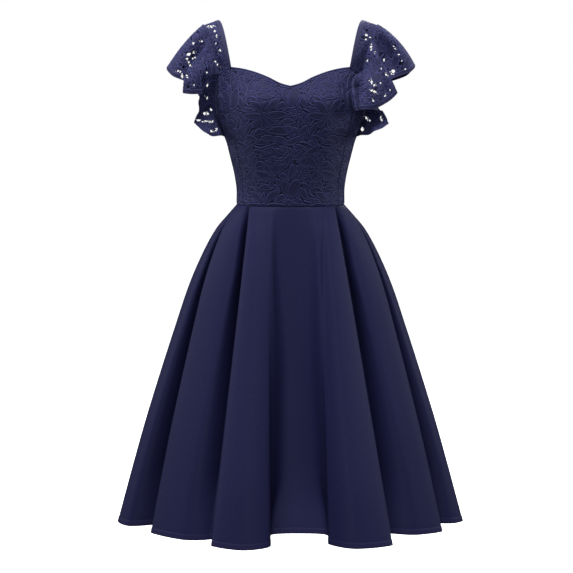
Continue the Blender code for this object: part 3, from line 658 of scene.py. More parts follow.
skirt = {
    "topZ": -0.3743, "stepsPerFold": 12, "rows": 66, "rowPower": 1.25, "thickness": 0.0009,
    "tuckRise": 0.0012, "tuckIn": 0.0012, "tuckReach": 0.010,
    "sideStart": 0.72, "sideBlend": 0.22, "frontFlare": 0.42, "kickSpan": (0.78, 1.05), "kickRise": -0.22,
    "turnSpan": (0.88, 1.04), "insetStart": (0.1, 0.5), "insetEnd": (0.80, 0.98), "length": 0.67,
    "hemRows": (0.0, 0.0012, 0.0030, 0.0060, 0.0090, 0.0105, 0.0118, 0.0131, 0.0150), "hemGap": 0.004,
    "hemFold": 0.0006, "hemTop": (0.0112, 0.0135), "stitch": (0.0118, 0.0010), "stitchDepth": 1.2,
    "creaseLeast": 0.2, "creaseWaist": 0.42, "creaseGain": 2, "creaseHem": 0.4, "creaseHemFrom": 0.8,
}
# how far the last stretch of a fold kicks backwards at the hem, or forwards below zero
hemKick = {"hollowLeft": -0.014, "hollowRight": -0.014, "wallLeft": -0.006, "wallRight": -0.006,
           "swellLeft": 0.009, "swellRight": 0.009, "rollLeft": 0.004, "rollRight": 0.004}
# the same for its last few centimetres
hemTurn = {"hollowLeft": -0.009, "hollowRight": -0.009}
# how far a fold stands to its +X side between waist and hem, which softens the corners of the hollow
inset = {"wallLeft": 0.003, "hollowLeft": 0.017, "hollowRight": -0.010, "wallRight": -0.003}
# folds that come forward sooner than they go down: the power of their share of the way
early = {"wallLeft": 0.86, "hollowLeft": 0.85, "hollowRight": 0.82, "wallRight": 0.84}
# folds that flare less below the waist: how far they follow the silhouette there
flares = {"hollowLeft": 0.10, "hollowRight": 0.10}
# silhouette: share of the way down, share of the way out
skirtFlare = np.array([
    (0.00, 0.000), (0.03, 0.070), (0.075, 0.170), (0.15, 0.280), (0.25, 0.395),
    (0.38, 0.512), (0.52, 0.633), (0.68, 0.765), (0.84, 0.885), (1.00, 1.000),
])
# folds round the front: name, angle and lift at the waist, then x, y and z at the hem
frontFolds = [
    ("sideLeft", -92, 0.000, -0.3610, 0.010, -1.038),
    ("outerPanelLeft", -84, 0.000, -0.3400, -0.030, -1.040),
    ("underLeft", -77, 0.000, -0.2930, -0.050, -1.039),
    ("turnLeft", -74.5, 0.000, -0.2660, -0.068, -1.038),
    ("edgeLeft", -72, 0.0030, -0.2833, -0.105, -1.038),
    ("panelLeft", -60, 0.0015, -0.2221, -0.160, -1.039),
    ("underPanelLeft", -48, 0.000, -0.1640, -0.186, -1.039),
    ("turnFrontLeft", -45.5, 0.000, -0.1340, -0.187, -1.037),
    ("edgeFrontLeft", -43, 0.0030, -0.1555, -0.234, -1.035),
    ("swellLeft", -34, 0.0020, -0.0950, -0.268, -1.036),
    ("rollLeft", -24, 0.0010, -0.0440, -0.250, -1.034),
    ("wallLeft", -17, 0.000, -0.0405, -0.206, -1.031),
    ("hollowLeft", -9, 0.000, -0.0320, -0.162, -1.026),
    ("hollowRight", 13, 0.000, 0.0640, -0.170, -1.024),
    ("wallRight", 25, 0.000, 0.0762, -0.204, -1.029),
    ("rollRight", 32, 0.0010, 0.0790, -0.236, -1.032),
    ("swellRight", 38, 0.0020, 0.1300, -0.264, -1.034),
    ("edgeFrontRight", 48, 0.0030, 0.2015, -0.215, -1.038),
    ("turnFrontRight", 50.5, 0.000, 0.1760, -0.180, -1.035),
    ("underPanelRight", 53, 0.000, 0.2060, -0.165, -1.032),
    ("panelRight", 64, 0.0015, 0.2560, -0.142, -1.034),
    ("edgeRight", 76, 0.0030, 0.3090, -0.100, -1.036),
    ("turnRight", 78.5, 0.000, 0.2860, -0.064, -1.033),
    ("underRight", 81, 0.000, 0.3130, -0.050, -1.035),
    ("outerPanelRight", 86, 0.000, 0.3450, -0.018, -1.037),
]
# right half of the back, which the left half mirrors, and the middle
backFolds = [
    ("sideRight", 92, 0.000, 0.3600, 0.010, -1.037),
    ("outerPanelBack", 98, 0.000, 0.3380, 0.050, -1.037),
    ("underBack", 104, 0.000, 0.2960, 0.072, -1.037),
    ("turnBack", 106.5, 0.000, 0.2700, 0.092, -1.037),
    ("edgeBack", 109, 0.0030, 0.2850, 0.128, -1.037),
    ("panelBack", 120, 0.0015, 0.2300, 0.180, -1.038),
    ("underInnerBack", 131, 0.000, 0.1760, 0.200, -1.038),
    ("turnInnerBack", 133.5, 0.000, 0.1450, 0.202, -1.037),
    ("edgeInnerBack", 136, 0.0030, 0.1640, 0.238, -1.036),
    ("swellBack", 148, 0.0020, 0.1000, 0.272, -1.036),
    ("rollBack", 160, 0.0010, 0.0440, 0.246, -1.033),
    ("wallBack", 168, 0.000, 0.0300, 0.200, -1.031),
    ("centreBack", 180, 0.000, 0.0000, 0.170, -1.030),
]
# every fold round the dress, from the centre back past the left side
skirtFolds = [(name + "Left", -angle, lift, -x, y, z) for name, angle, lift, x, y, z in backFolds[:0:-1]]
skirtFolds += frontFolds + backFolds
# soft troughs down the cloth: fold they lie on, reach to the -X side and to the +X side, depth, direction
# they open to, where they start and where they are full
creases = [
    ("underLeft", 0.056, 0.050, 0.052, -24, 0.00, 0.25),
    ("underPanelLeft", 0.070, 0.056, 0.046, -8, -0.05, 0.11),
    ("underPanelRight", 0.056, 0.072, 0.046, 8, -0.05, 0.11),
    ("underRight", 0.050, 0.056, 0.042, 24, 0.00, 0.25),
    ("underBack", 0.050, 0.056, 0.036, 152, 0.00, 0.25),
    ("underInnerBack", 0.052, 0.066, 0.040, 172, -0.02, 0.16),
    ("underInnerBackLeft", 0.064, 0.052, 0.038, -172, -0.02, 0.20),
    ("underBackLeft", 0.056, 0.050, 0.040, -152, 0.00, 0.28),
]


def foldLine(fold, down):
    # one fold from the waist to the hem: side folds follow the silhouette, others fall straighter
    name, angle, lift, x, y, z = fold
    turn = math.radians(angle)
    halfWidth, front, back = bodiceSections[0, 1:4] + lift
    depth = front if abs(angle) < 90 else back
    start = np.array([halfWidth * rounded(math.sin(turn)), -depth * rounded(math.cos(turn)), skirt["topZ"]])
    out = smoothCurve(skirtFlare[:, 0], skirtFlare[:, 1], down)
    side = min(1.0, max(0.0, (abs(math.sin(turn)) - skirt["sideStart"]) / skirt["sideBlend"]))
    flare = flares.get(name, skirt["frontFlare"])
    forward = down + (out - down) * (flare + (1 - flare) * side)
    forward = np.maximum(forward, 0) ** early.get(name, 1)
    shares = np.stack([down + (out - down) * side, forward, down], axis=-1)
    line = start + (np.array([x, y, z]) - start) * shares
    kick = hemKick.get(name, 0) * smoothStep(down, *skirt["kickSpan"])
    turnOut = hemTurn.get(name, 0) * smoothStep(down, *skirt["turnSpan"])
    shift = inset.get(name, 0) * smoothStep(down, *skirt["insetStart"])
    shift = shift * (1 - smoothStep(down, *skirt["insetEnd"]))
    return line + np.stack([shift, kick + turnOut, skirt["kickRise"] * kick], axis=-1)


def skirtSurface():
    # rows from the hem up, and columns all round from the centre back past the left side
    down = np.linspace(1, 0, skirt["rows"]) ** skirt["rowPower"]
    hem = 1 - np.array(skirt["hemRows"]) / skirt["length"]
    down = np.concatenate([hem, down[down < hem[-1] - skirt["hemGap"]]])
    lines = np.stack([foldLine(fold, down) for fold in skirtFolds], axis=1)
    ring = np.concatenate([lines[:, 1:2] * mirror, lines, lines[:, -2:-1] * mirror], axis=1)
    steps = skirt["stepsPerFold"]
    t = (np.arange(steps) / steps)[None, :, None]
    stretches = []
    for k in range(1, ring.shape[1] - 2):
        before, start, end, after = (ring[:, k + offset][:, None] for offset in (-1, 0, 1, 2))
        stretches.append(between(start, (end - before) / 2, end, (after - start) / 2, t))
    return np.concatenate(stretches + [lines[:, -1:]], axis=1), down


def waistTuck(top):
    # how the top edge moves to lie just inside the bodice all round, where it is sewn in
    angles = [fold[1] for fold in skirtFolds]
    angle = np.interp(np.arange(len(top)) / skirt["stepsPerFold"], np.arange(len(angles)), angles)
    turn = np.radians(angle)
    inward = np.stack([-np.sin(turn), np.cos(turn), 0 * turn], axis=-1)
    seam = bodicePoint(angle, bodice["waistZ"]) + inward * skirt["tuckIn"]
    return seam + np.array([0, 0, skirt["tuckRise"]]) - top


def creasedSkirt():
    surface, down = skirtSurface()
    names = [fold[0] for fold in skirtFolds]
    flat = flatPlaces(surface, 0)
    for name, before, after, depth, direction, start, full in creases:
        column = names.index(name) * skirt["stepsPerFold"]
        away = flat[..., 0] - flat[:, column, 0][:, None]
        reach = np.where(away < 0, before, after) * np.maximum(skirt["creaseLeast"], down[:, None])
        share = np.clip(1 - np.abs(away) / reach, 0, 1) ** 2
        # shallow at the waist, and a little shallower again at the hem
        waist = np.minimum(1, skirt["creaseWaist"] + down * skirt["creaseGain"])
        hem = 1 - skirt["creaseHem"] * smoothStep(down, skirt["creaseHemFrom"], 1)
        fade = smoothStep(down, start, full) * waist * hem
        turn = math.radians(direction)
        outward = np.array([math.sin(turn), -math.cos(turn), 0])
        surface = surface - outward * (depth * fade[:, None] * share)[..., None]
    near = 1 - smoothStep(down, 0, skirt["tuckReach"])
    surface = surface + waistTuck(surface[-1]) * near[:, None, None]
    # the turned hem is a little thicker, with its stitches sunk in along its top
    up = flat[..., 1]
    sunk = skirt["stitchDepth"] * hump(up, *skirt["stitch"])
    hem = skirt["hemFold"] * (1 - smoothStep(up, *skirt["hemTop"]) - sunk)
    return surface + gridNormals(surface) * hem[..., None]


def makeSkirt():
    surface = creasedSkirt()
    flat = flatPlaces(surface, surface.shape[1] // 2)
    sideLeft = skirt["stepsPerFold"] * (len(backFolds) - 1)
    sideRight = sideLeft + skirt["stepsPerFold"] * len(frontFolds)
    # first and last column, then the cut: width at the hem and length in metres, area in square metres
    panels = {"skirt_back_L": (0, sideLeft, (0.642, 0.718), 0.321),
              "skirt_front": (sideLeft, sideRight, (1.314, 0.718), 0.680),
              "skirt_back_R": (sideRight, surface.shape[1] - 1, (0.642, 0.718), 0.321)}
    for node, (first, last, cut, area) in panels.items():
        columns = slice(first, last + 1)
        panel = clothGrid("satin_" + node, surface[:, columns], flat[:, columns])
        thicken(panel, skirt["thickness"])
        panel.data.materials.append(satinCloth)
        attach(panel, "dress")
        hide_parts(node)


makeSkirt()
print("skirt pleated")

# straps and sleeve flounces: metres, but millimetres for the bands, bars, openings and spots

strap = {"topInner": 0.1475, "topOuter": 0.1770, "drop": 0.010, "end": -0.011, "sink": 0.0007,
         "sinkSpan": 0.03, "wall": 0.0012, "columns": 220, "rows": 32, "bands": (2.5, 8.0),
         "cut": (0.039, 0.263), "area": 0.0088}
sleeve = {"frontGrid": (310, 92), "backGrid": (250, 76), "thickness": 0.0007, "layGap": 0.00075,
          "standOff": 0.0015, "innerRadius": 0.112, "bands": (9.0, 3.0), "openFrom": 1.5,
          "barSpacing": 9.0, "barWidth": 1.7, "barStray": 0.34, "relief": 0.9, "corner": 0.2,
          "wavePower": 1.5, "creaseLean": 0.03, "stillSpan": 0.25, "cutLeast": 0.01,
          "cutShares": (0.15, 0.85),
          "spotGrow": 0.35, "spotThread": 8.0, "threadHalf": 0.55, "spotPower": 1.25, "rimHeight": 1.15}
# small waves of the sleeves: height in metres, then radians along the armhole and from armhole to hem
sleeveWaves = [(0.0020, 43, 1.5), (0.0010, 71, 2)]
# where each piece lies on the lace, in millimetres
laceLay = {"strap_R": (12, 30), "strap_L": (70, 110), "flounce_front_R": (34, 12),
           "flounce_back_R": (90, 70), "flounce_front_L": (8, 64), "flounce_back_L": (60, 130)}
# gathers pressed into the sleeves: place along the armhole, width, place from armhole to hem, width, and
# depth in metres
sleeveCreases = {
    "front_R": [(0.175, 0.055, 0.58, 0.42, 0.020), (0.27, 0.04, 0.70, 0.25, -0.004),
                (0.478, 0.028, 0.74, 0.42, 0.030), (0.385, 0.03, 0.8, 0.3, 0.008),
                (0.78, 0.05, 0.80, 0.4, 0.004)],
    "front_L": [(0.20, 0.05, 0.55, 0.34, 0.014), (0.30, 0.04, 0.70, 0.3, -0.004),
                (0.50, 0.07, 0.74, 0.40, 0.020), (0.40, 0.03, 0.85, 0.3, 0.004),
                (0.80, 0.05, 0.80, 0.4, 0.004)],
    "back_R": [(0.22, 0.05, 0.55, 0.35, 0.010), (0.44, 0.05, 0.75, 0.3, 0.006),
               (0.75, 0.06, 0.7, 0.4, 0.004)],
    "back_L": [(0.19, 0.05, 0.60, 0.35, 0.011), (0.47, 0.05, 0.70, 0.3, 0.006),
               (0.73, 0.06, 0.7, 0.4, 0.004)],
}
# front ribs: place along the armhole, hem point, then the bow of the rib sideways, forwards and up
frontRibs = {
    "R": [
        ("shoulder", 0.00, 0.2548, 0.004, -0.088, 0.004, 0.000, 0.007),
        ("firstLobe", 0.10, 0.2420, -0.034, -0.104, 0.007, 0.010, 0.010),
        ("firstValley", 0.22, 0.1960, -0.056, -0.124, 0.002, 0.002, 0.003),
        ("secondTip", 0.32, 0.2144, -0.072, -0.146, -0.001, 0.015, 0.009),
        ("secondLobe", 0.42, 0.1780, -0.090, -0.175, 0.012, 0.017, 0.010),
        ("secondFold", 0.52, 0.1250, -0.112, -0.181, -0.014, 0.024, 0.026),
        ("underFold", 0.62, 0.1730, -0.062, -0.181, 0.002, 0.003, 0.004),
        ("thirdTip", 0.72, 0.1975, -0.076, -0.206, 0.003, 0.003, 0.006),
        ("thirdLobe", 0.83, 0.1690, -0.090, -0.2215, 0.004, 0.000, 0.003),
        ("thirdEnd", 0.93, 0.1430, -0.056, -0.2325, 0.003, 0.000, 0.003),
        ("underarm", 1.00, 0.1362, 0.004, -0.2350, -0.0012, 0.000, 0.001),
    ],
    "L": [
        ("shoulder", 0.00, 0.2545, 0.004, -0.094, 0.002, 0.000, 0.004),
        ("firstLobe", 0.10, 0.2380, -0.034, -0.112, 0.005, 0.008, 0.006),
        ("firstValley", 0.22, 0.2030, -0.056, -0.128, 0.002, 0.002, 0.003),
        ("secondTip", 0.33, 0.2145, -0.074, -0.1460, 0.012, 0.013, 0.011),
        ("secondLobe", 0.44, 0.1780, -0.086, -0.1500, 0.010, 0.019, 0.012),
        ("secondFold", 0.54, 0.1735, -0.078, -0.1530, 0.004, 0.009, 0.006),
        ("underFold", 0.63, 0.1845, -0.062, -0.1720, 0.004, 0.003, 0.004),
        ("thirdTip", 0.72, 0.1930, -0.060, -0.2065, 0.008, 0.003, 0.006),
        ("thirdLobe", 0.83, 0.1670, -0.074, -0.2270, 0.004, 0.000, 0.003),
        ("thirdEnd", 0.93, 0.1420, -0.040, -0.2335, 0.003, 0.001, 0.003),
        ("underarm", 1.00, 0.1362, 0.004, -0.2350, -0.0012, 0.000, 0.001),
    ],
}
# back ribs between the front's first and last, with bows sideways, backwards and up
backRibs = {
    "R": [
        ("backFirstLobe", 0.12, 0.2380, 0.042, -0.112, 0.010, 0.008, 0.010),
        ("backFirstValley", 0.25, 0.1930, 0.064, -0.130, 0.002, 0.002, 0.003),
        ("backSecondTip", 0.37, 0.2040, 0.096, -0.148, 0.010, 0.008, 0.010),
        ("backSecondLobe", 0.49, 0.1700, 0.112, -0.154, 0.012, 0.010, 0.012),
        ("backUnderFold", 0.61, 0.1650, 0.084, -0.168, 0.004, 0.004, 0.005),
        ("backThirdTip", 0.72, 0.1860, 0.058, -0.204, 0.006, 0.005, 0.006),
        ("backThirdLobe", 0.86, 0.1560, 0.050, -0.228, 0.004, 0.003, 0.004),
    ],
    "L": [
        ("backFirstLobe", 0.12, 0.2340, 0.042, -0.116, 0.010, 0.008, 0.008),
        ("backFirstValley", 0.25, 0.1960, 0.064, -0.130, 0.002, 0.002, 0.003),
        ("backSecondTip", 0.37, 0.1990, 0.096, -0.143, 0.010, 0.008, 0.010),
        ("backSecondLobe", 0.49, 0.1700, 0.114, -0.160, 0.012, 0.010, 0.012),
        ("backUnderFold", 0.61, 0.1660, 0.084, -0.176, 0.004, 0.004, 0.005),
        ("backThirdTip", 0.72, 0.1860, 0.058, -0.204, 0.006, 0.005, 0.006),
        ("backThirdLobe", 0.86, 0.1560, 0.050, -0.228, 0.004, 0.003, 0.004),
    ],
}


def strapEdge(share, edge):
    # inner or outer edge of the right strap: share 0 at its front foot, 1 at its back foot
    share = np.asarray(share, float)
    front, back = strapFeet[edge + "Front"], strapFeet[edge + "Back"]
    top = np.array([strap["topInner"], 0, 0] if edge == "inner" else [strap["topOuter"], 0, -strap["drop"]])
    frontFoot, backFoot = (bodicePoint(angle, topEdge(angle)) for angle in (front, back))
    foot = np.where((share <= 0.5)[..., None], frontFoot, backFoot)
    up = 1 - np.abs(share - 0.5) * 2
    turn = up * math.pi / 2
    return np.stack([foot[..., 0] + (top[0] - foot[..., 0]) * up,
                     foot[..., 1] * np.cos(turn) + top[1] * np.sin(turn),
                     foot[..., 2] + (top[2] - foot[..., 2]) * np.sin(turn)], axis=-1)


def mirrorGrid(points, side):
    if side == "R":
        return points
    return points[:, ::-1] * mirror


def armholeEdge(along, facing):
    # where the right flounce starts: 0 at the shoulder, 1 under the arm
    front = facing == "front"
    foot = strapFeet["outerFront" if front else "outerBack"]
    up = 1 - np.clip(along * 2, 0, 1)
    share = up / 2 if front else 1 - up / 2
    outer, inner = strapEdge(share, "outer"), strapEdge(share, "inner")
    if front:
        onward = strapEdge(share + 0.01, "outer") - outer
    else:
        onward = outer - strapEdge(share - 0.01, "outer")
    onStrap = outer + unit(np.cross(onward, inner - outer)) * (strap["wall"] + sleeve["layGap"])
    angle = foot + (90 - foot) * np.clip(along * 2 - 1, 0, 1)
    turn = np.radians(angle)
    out = np.stack([np.sin(turn), -np.cos(turn), np.zeros_like(turn)], axis=-1)
    onBodice = bodicePoint(angle, topEdge(angle)) + out * (sleeve["standOff"] + sleeve["layGap"])
    return np.where((along <= 0.5)[..., None], onStrap, onBodice)


def flounceSurface(ribs, facing, title, columns, rows):
    # rows from the hem up to the armhole
    table = np.array([rib[1:] for rib in ribs])
    along = np.linspace(0, 1, columns)
    sign = -1 if facing == "front" else 1
    start = armholeEdge(along, facing)
    ease = [sleeve["corner"] if rib[0].endswith("Tip") or rib[0] == "shoulder" else 1 for rib in ribs]
    hem = smoothCurve(table[:, 0], table[:, 1:4], along, ease)
    bow = smoothCurve(table[:, 0], table[:, 4:7] * np.array([1, sign, 1]), along)
    bend = (start + hem) / 2 + bow * 2
    share = np.linspace(1, 0, rows)[:, None, None]
    surface = start * (1 - share) ** 2 + bend * 2 * share * (1 - share) + hem * share ** 2
    share = share[..., 0]
    push = sum(rise * np.sin(along * turns + lean * share) for rise, turns, lean in sleeveWaves)
    push = push * share ** sleeve["wavePower"]
    for place, width, out, reach, depth in sleeveCreases[title]:
        middle = place + sleeve["creaseLean"] * (share - 0.5)
        push = push + depth * hump(along, middle, width) * hump(share, out, reach)
    outward = gridNormals(surface) * sign
    return surface - outward * (push * smoothStep(share, 0, sleeve["stillSpan"]))[..., None]


def threadDistance(x, y, spacing):
    # distance to the bars that cross the open ground: the edges between cells round scattered points,
    # each point turned by a hash of its column and row
    column, row = np.floor(x / spacing), np.floor(y / spacing)
    stray = sleeve["barStray"]
    near = np.full(x.shape, 1e6)
    second = np.full(x.shape, 1e6)
    for dx in (-1, 0, 1):
        for dy in (-1, 0, 1):
            cx, cy = column + dx, row + dy
            turn = np.modf(np.abs(np.sin(cx * 127.1 + cy * 311.7) * 43758.5))[0] * 2 * np.pi
            away = np.hypot(x - (cx + 0.5 + stray * np.cos(turn)) * spacing,
                            y - (cy + 0.5 + stray * np.sin(turn)) * spacing)
            second = np.minimum(second, np.maximum(near, away))
            near = np.minimum(near, away)
    return (second - near) / 2


def joined(cloth):
    # only cloth that hangs together with the top row
    found = np.zeros(cloth.shape, bool)
    found[-1] = cloth[-1]
    while True:
        grown = found.copy()
        grown[1:] |= found[:-1]
        grown[:-1] |= found[1:]
        grown[:, 1:] |= found[:, :-1]
        grown[:, :-1] |= found[:, 1:]
        grown &= cloth
        if (grown == found).all():
            return found
        found = grown


def openCloth(name, points, flat, marks, keep):
    # a grid with its open ground cut out along the line where keep is zero
    least = sleeve["cutLeast"]
    keep = np.where(joined(keep > 0), np.maximum(keep, least), np.minimum(keep, -least))
    data = np.concatenate([points, flat] + [mark[..., None] for mark in marks.values()], axis=-1)
    inside = keep > 0
    count = int(inside.sum())
    number = np.full(keep.shape, -1)
    number[inside] = np.arange(count)
    vertices = [data[inside]]
    crossings = []
    for first, second in ((np.s_[:, :-1], np.s_[:, 1:]), (np.s_[:-1], np.s_[1:])):
        cut = inside[first] != inside[second]
        share = keep[first][cut] / (keep[first][cut] - keep[second][cut])
        share = np.clip(share, *sleeve["cutShares"])[:, None]
        vertices.append(data[first][cut] * (1 - share) + data[second][cut] * share)
        numbers = np.full(cut.shape, -1)
        numbers[cut] = np.arange(count, count + cut.sum())
        count += int(cut.sum())
        crossings.append(numbers)
    along, up = crossings
    sides = np.stack([number[:-1, :-1], along[:-1], number[:-1, 1:], up[:, 1:],
                      number[1:, 1:], along[1:], number[1:, :-1], up[:, :-1]], axis=-1).reshape(-1, 8)
    whole = (sides[:, ::2] >= 0).all(axis=1)
    faces = sides[whole][:, ::2].tolist()
    for ring in sides[~whole & (sides >= 0).any(axis=1)].tolist():
        faces.append([vertex for vertex in ring if vertex >= 0])
    vertices = np.concatenate(vertices)
    found = {title: vertices[:, 5 + k] for k, title in enumerate(marks)}
    return meshFrom(name, vertices[:, :3], faces, vertices[:, 3:5], found)


# larger openings of the sleeves and straps, in millimetres on the plane y = 0 as they line up from the
# front: x, z, half width, half height, turn in degrees
openSpots = [
    (-162, -12, 8.2, 4.1, 10), (-155, -21, 2.7, 2.7, 0), (-150, -32, 2.0, 4.1, 0),
    (-181, -41, 6.1, 2.0, 0), (-198, -46, 2.7, 2.4, 0), (-152, -47, 3.7, 2.0, 20),
    (-144, -61, 2.7, 4.1, 0), (-196, -64, 3.7, 2.7, 20), (-207, -68, 6.1, 2.4, 30),
    (-197, -75, 5.3, 2.0, 30), (-211, -78, 2.7, 3.1, 0), (-208, -85, 1.8, 3.3, 0),
    (-204, -91, 4.1, 2.0, -20), (-223, -73, 2.0, 2.0, 0), (-228, -103, 6.1, 2.0, -10),
    (-221, -112, 2.7, 4.5, 0), (-211, -113, 4.7, 3.7, 0), (-170, -130, 2.4, 4.1, 0),
    (-149, -89, 2.0, 2.0, 0), (-153, -83, 2.9, 2.0, 0), (-171, -155, 1.8, 3.5, 0),
    (-173, -189, 7.1, 4.5, -10), (-188, -202, 5.3, 2.2, 0), (-173, -205, 8.2, 2.4, 0),
    (-161, -205, 3.9, 2.4, 30), (-163, -181, 1.8, 3.3, 0), (-153, -221, 4.0, 3.4, 30),
    (-171, -105, 1.8, 1.8, 0),
    (154, -30, 4.1, 2.4, -30), (153, -38, 3.1, 1.4, 0), (162, -34, 1.8, 1.8, 0),
    (165, -54, 2.9, 6.5, -8), (172, -64, 2.7, 2.7, 0), (157, -80, 1.8, 3.1, 0), (212, -54, 2.0, 4.9, 25),
    (219, -69, 3.7, 1.8, 10), (191, -80, 2.7, 2.7, 0), (226, -81, 2.0, 2.9, 10), (234, -98, 1.8, 1.8, 0),
    (209, -104, 6.1, 7.1, 0), (196, -110, 3.1, 5.7, 25), (185, -97, 1.6, 2.9, 0),
    (164, -124, 3.7, 8.2, 0), (172, -130, 4.1, 3.7, 0), (169, -144, 9.2, 3.3, -25),
    (184, -127, 2.0, 2.0, 0), (193, -151, 3.9, 2.7, 0), (169, -163, 2.2, 2.2, 0),
    (203, -141, 1.8, 1.8, 0), (158, -200, 7.3, 2.2, -40), (186, -198, 2.7, 6.1, 10),
    (147, -221, 3.2, 5.0, 0),
]


def spotDistance(points):
    # millimetres outside the nearest opening, with an uneven rim
    eye, power = shot["place"], sleeve["spotPower"]
    share = eye[1] / (eye[1] - points[..., 1])
    x = (eye[0] + (points[..., 0] - eye[0]) * share) * 1000
    z = (eye[2] + (points[..., 2] - eye[2]) * share) * 1000
    nearest = np.full(x.shape, 99.0)
    for cx, cz, wide, high, angle in openSpots:
        turn = math.radians(angle)
        along = (x - cx) * math.cos(turn) + (z - cz) * math.sin(turn)
        across = (z - cz) * math.cos(turn) - (x - cx) * math.sin(turn)
        away = (np.abs(along / wide) ** power + np.abs(across / high) ** power) ** (1 / power) - 1
        nearest = np.minimum(nearest, away * min(wide, high) - sleeve["spotGrow"])
    # crossed waves and a finer one
    rim = np.sin(x * 0.9 + z * 0.5) * np.sin(z * 1.0 - x * 0.35) + 0.5 * np.sin(x * 2.1 - z * 1.3)
    threads = sleeve["threadHalf"] - threadDistance(x + 3 * np.sin(z / 9), z, sleeve["spotThread"])
    return np.maximum(nearest + sleeve["rimHeight"] * rim, threads)


def laceSheet(node, points, pattern, bands, hemAway, topAway):
    # single lace: pattern is its own flat places in millimetres, the bands finish its hem and its top
    x, y = (pattern[..., axis] + laceLay[node][axis] for axis in (0, 1))
    edge, vein = laceAt(openLace, x, y)
    bars = sleeve["barWidth"] / 2 - threadDistance(x, y, sleeve["barSpacing"])
    for away, band in zip((hemAway, topAway), bands):
        edge, vein = withBand(edge, vein, away, band)
    keep = np.maximum(edge + sleeve["openFrom"], bars)
    edge = np.maximum(edge, np.where(keep > 0, bars, -9))
    spots = spotDistance(points)
    keep = np.minimum(keep, spots)
    edge = np.minimum(edge, spots)
    normals = gridNormals(points)
    raised = points + normals * (laceRelief(edge, vein) * sleeve["relief"])[..., None]
    sheet = openCloth("lace_" + node, raised, flatPlaces(points, 0), {"edge": edge, "vein": vein}, keep)
    thicken(sheet, sleeve["thickness"])
    sheet.data.materials.append(laceCloth)
    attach(sheet, "dress")
    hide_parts(node)
    return sheet


def makeStraps():
    share = strap["end"] + (1 - 2 * strap["end"]) * np.linspace(0, 1, strap["columns"])
    inner, outer = strapEdge(share, "inner"), strapEdge(share, "outer")
    across = np.linspace(0, 1, strap["rows"])[:, None, None]
    right = outer + (inner - outer) * across
    # each foot is sewn in between the bodice's lace and its lining
    sunk = strap["sink"] * (1 - smoothStep(np.minimum(share, 1 - share), 0, strap["sinkSpan"]))
    right = right - gridNormals(right[:, ::-1])[:, ::-1] * sunk[None, :, None]
    for side in "RL":
        points = mirrorGrid(right, side)
        flat = flatPlaces(points, 0) * 1000
        up = flat[..., 1]
        cloth = laceSheet("strap_" + side, points, flat[..., ::-1], strap["bands"], up, up[-1:] - up)


def fanPlaces(points):
    # flat places on a circular cut, and how far each lies from the armhole, in millimetres
    out = lengths(points[::-1])[::-1]
    middle = points.shape[0] // 2
    along = np.linalg.norm(np.diff(points[middle], axis=0), axis=1)
    turn = np.concatenate([[0], np.cumsum(along / (sleeve["innerRadius"] + out[middle, :-1]))])
    radius = (sleeve["innerRadius"] + out) * 1000
    return np.stack([radius * np.sin(turn), -radius * np.cos(turn)], axis=-1), out * 1000


def makeFlounces():
    for side in "RL":
        front = frontRibs[side]
        back = [front[0]] + backRibs[side] + [front[-1]]
        ahead = flounceSurface(front, "front", "front_" + side, *sleeve["frontGrid"])
        behind = flounceSurface(back, "back", "back_" + side, *sleeve["backGrid"])
        for facing, grid in (("front", ahead[:, ::-1]), ("back", behind)):
            points = mirrorGrid(grid, side)
            pattern, out = fanPlaces(points)
            title = f"{facing}_{side}"
            cloth = laceSheet("flounce_" + title, points, pattern, sleeve["bands"], out[:1] - out, out)


# bindings along the straps' inner edges

binding = {"width": 0.0080, "lift": 0.00055, "thickness": 0.0007, "ribs": (0.0012, 0.0038, 0.0064),
           "ribHeight": 0.00045, "ribWidth": 0.0008, "columns": 150, "end": -0.004,
           "outerEdge": 0.0004, "innerEdge": 0.0003, "bulge": 0.0002, "cutWidth": 0.03,
           "across": 34, "round": 9}


def bindingProfile():
    # the folded strip in section: metres past the strap's inner edge, and above the strap
    end, gap, wall = -binding["width"], binding["lift"], binding["thickness"]
    over = gap + wall
    top = np.linspace(binding["outerEdge"], end, binding["across"])
    ribs = [binding["ribHeight"] * hump(-top, place, binding["ribWidth"]) for place in binding["ribs"]]
    turn = np.linspace(-math.pi / 2, math.pi / 2, binding["round"])[1:-1]
    far, near = binding["outerEdge"], binding["innerEdge"]
    outer = [(far + (over + binding["bulge"]) * math.cos(t), over * math.sin(t)) for t in turn]
    inner = [(near + gap * math.cos(t), gap * math.sin(t)) for t in turn[::-1]]
    loop = [(end, -gap - wall)] + outer + list(zip(top, over + sum(ribs)))
    return np.array(loop + [(end, gap)] + inner + [(end, -gap)])


def makeBindings():
    share = binding["end"] + (1 - 2 * binding["end"]) * np.linspace(0, 1, binding["columns"])
    inner, outer = strapEdge(share, "inner"), strapEdge(share, "outer")
    across = unit(inner - outer)
    along = unit(np.gradient(inner, axis=0))
    above = unit(np.cross(along, across))
    profile = bindingProfile()
    right = inner[:, None] + across[:, None] * profile[None, :, :1] + above[:, None] * profile[None, :, 1:]
    index = numbered(right)
    nextOne = np.roll(index, -1, axis=1)
    faces = facesOf([index[:-1], index[1:], nextOne[1:], nextOne[:-1]])
    faces += [index[0].tolist(), index[-1][::-1].tolist()]
    width = np.linspace(0, binding["cutWidth"], len(profile))
    flat = np.stack(np.meshgrid(lengths(inner), width, indexing="ij"), axis=-1)
    for side in "RL":
        points = right if side == "R" else right * mirror
        sideFaces = faces if side == "R" else [face[::-1] for face in faces]
        strip = meshFrom("binding_" + side, points.reshape(-1, 3), sideFaces, flat.reshape(-1, 2))
        strip.data.materials.append(bindingCloth)
        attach(strip, "dress")
        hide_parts("strap_binding_" + side)


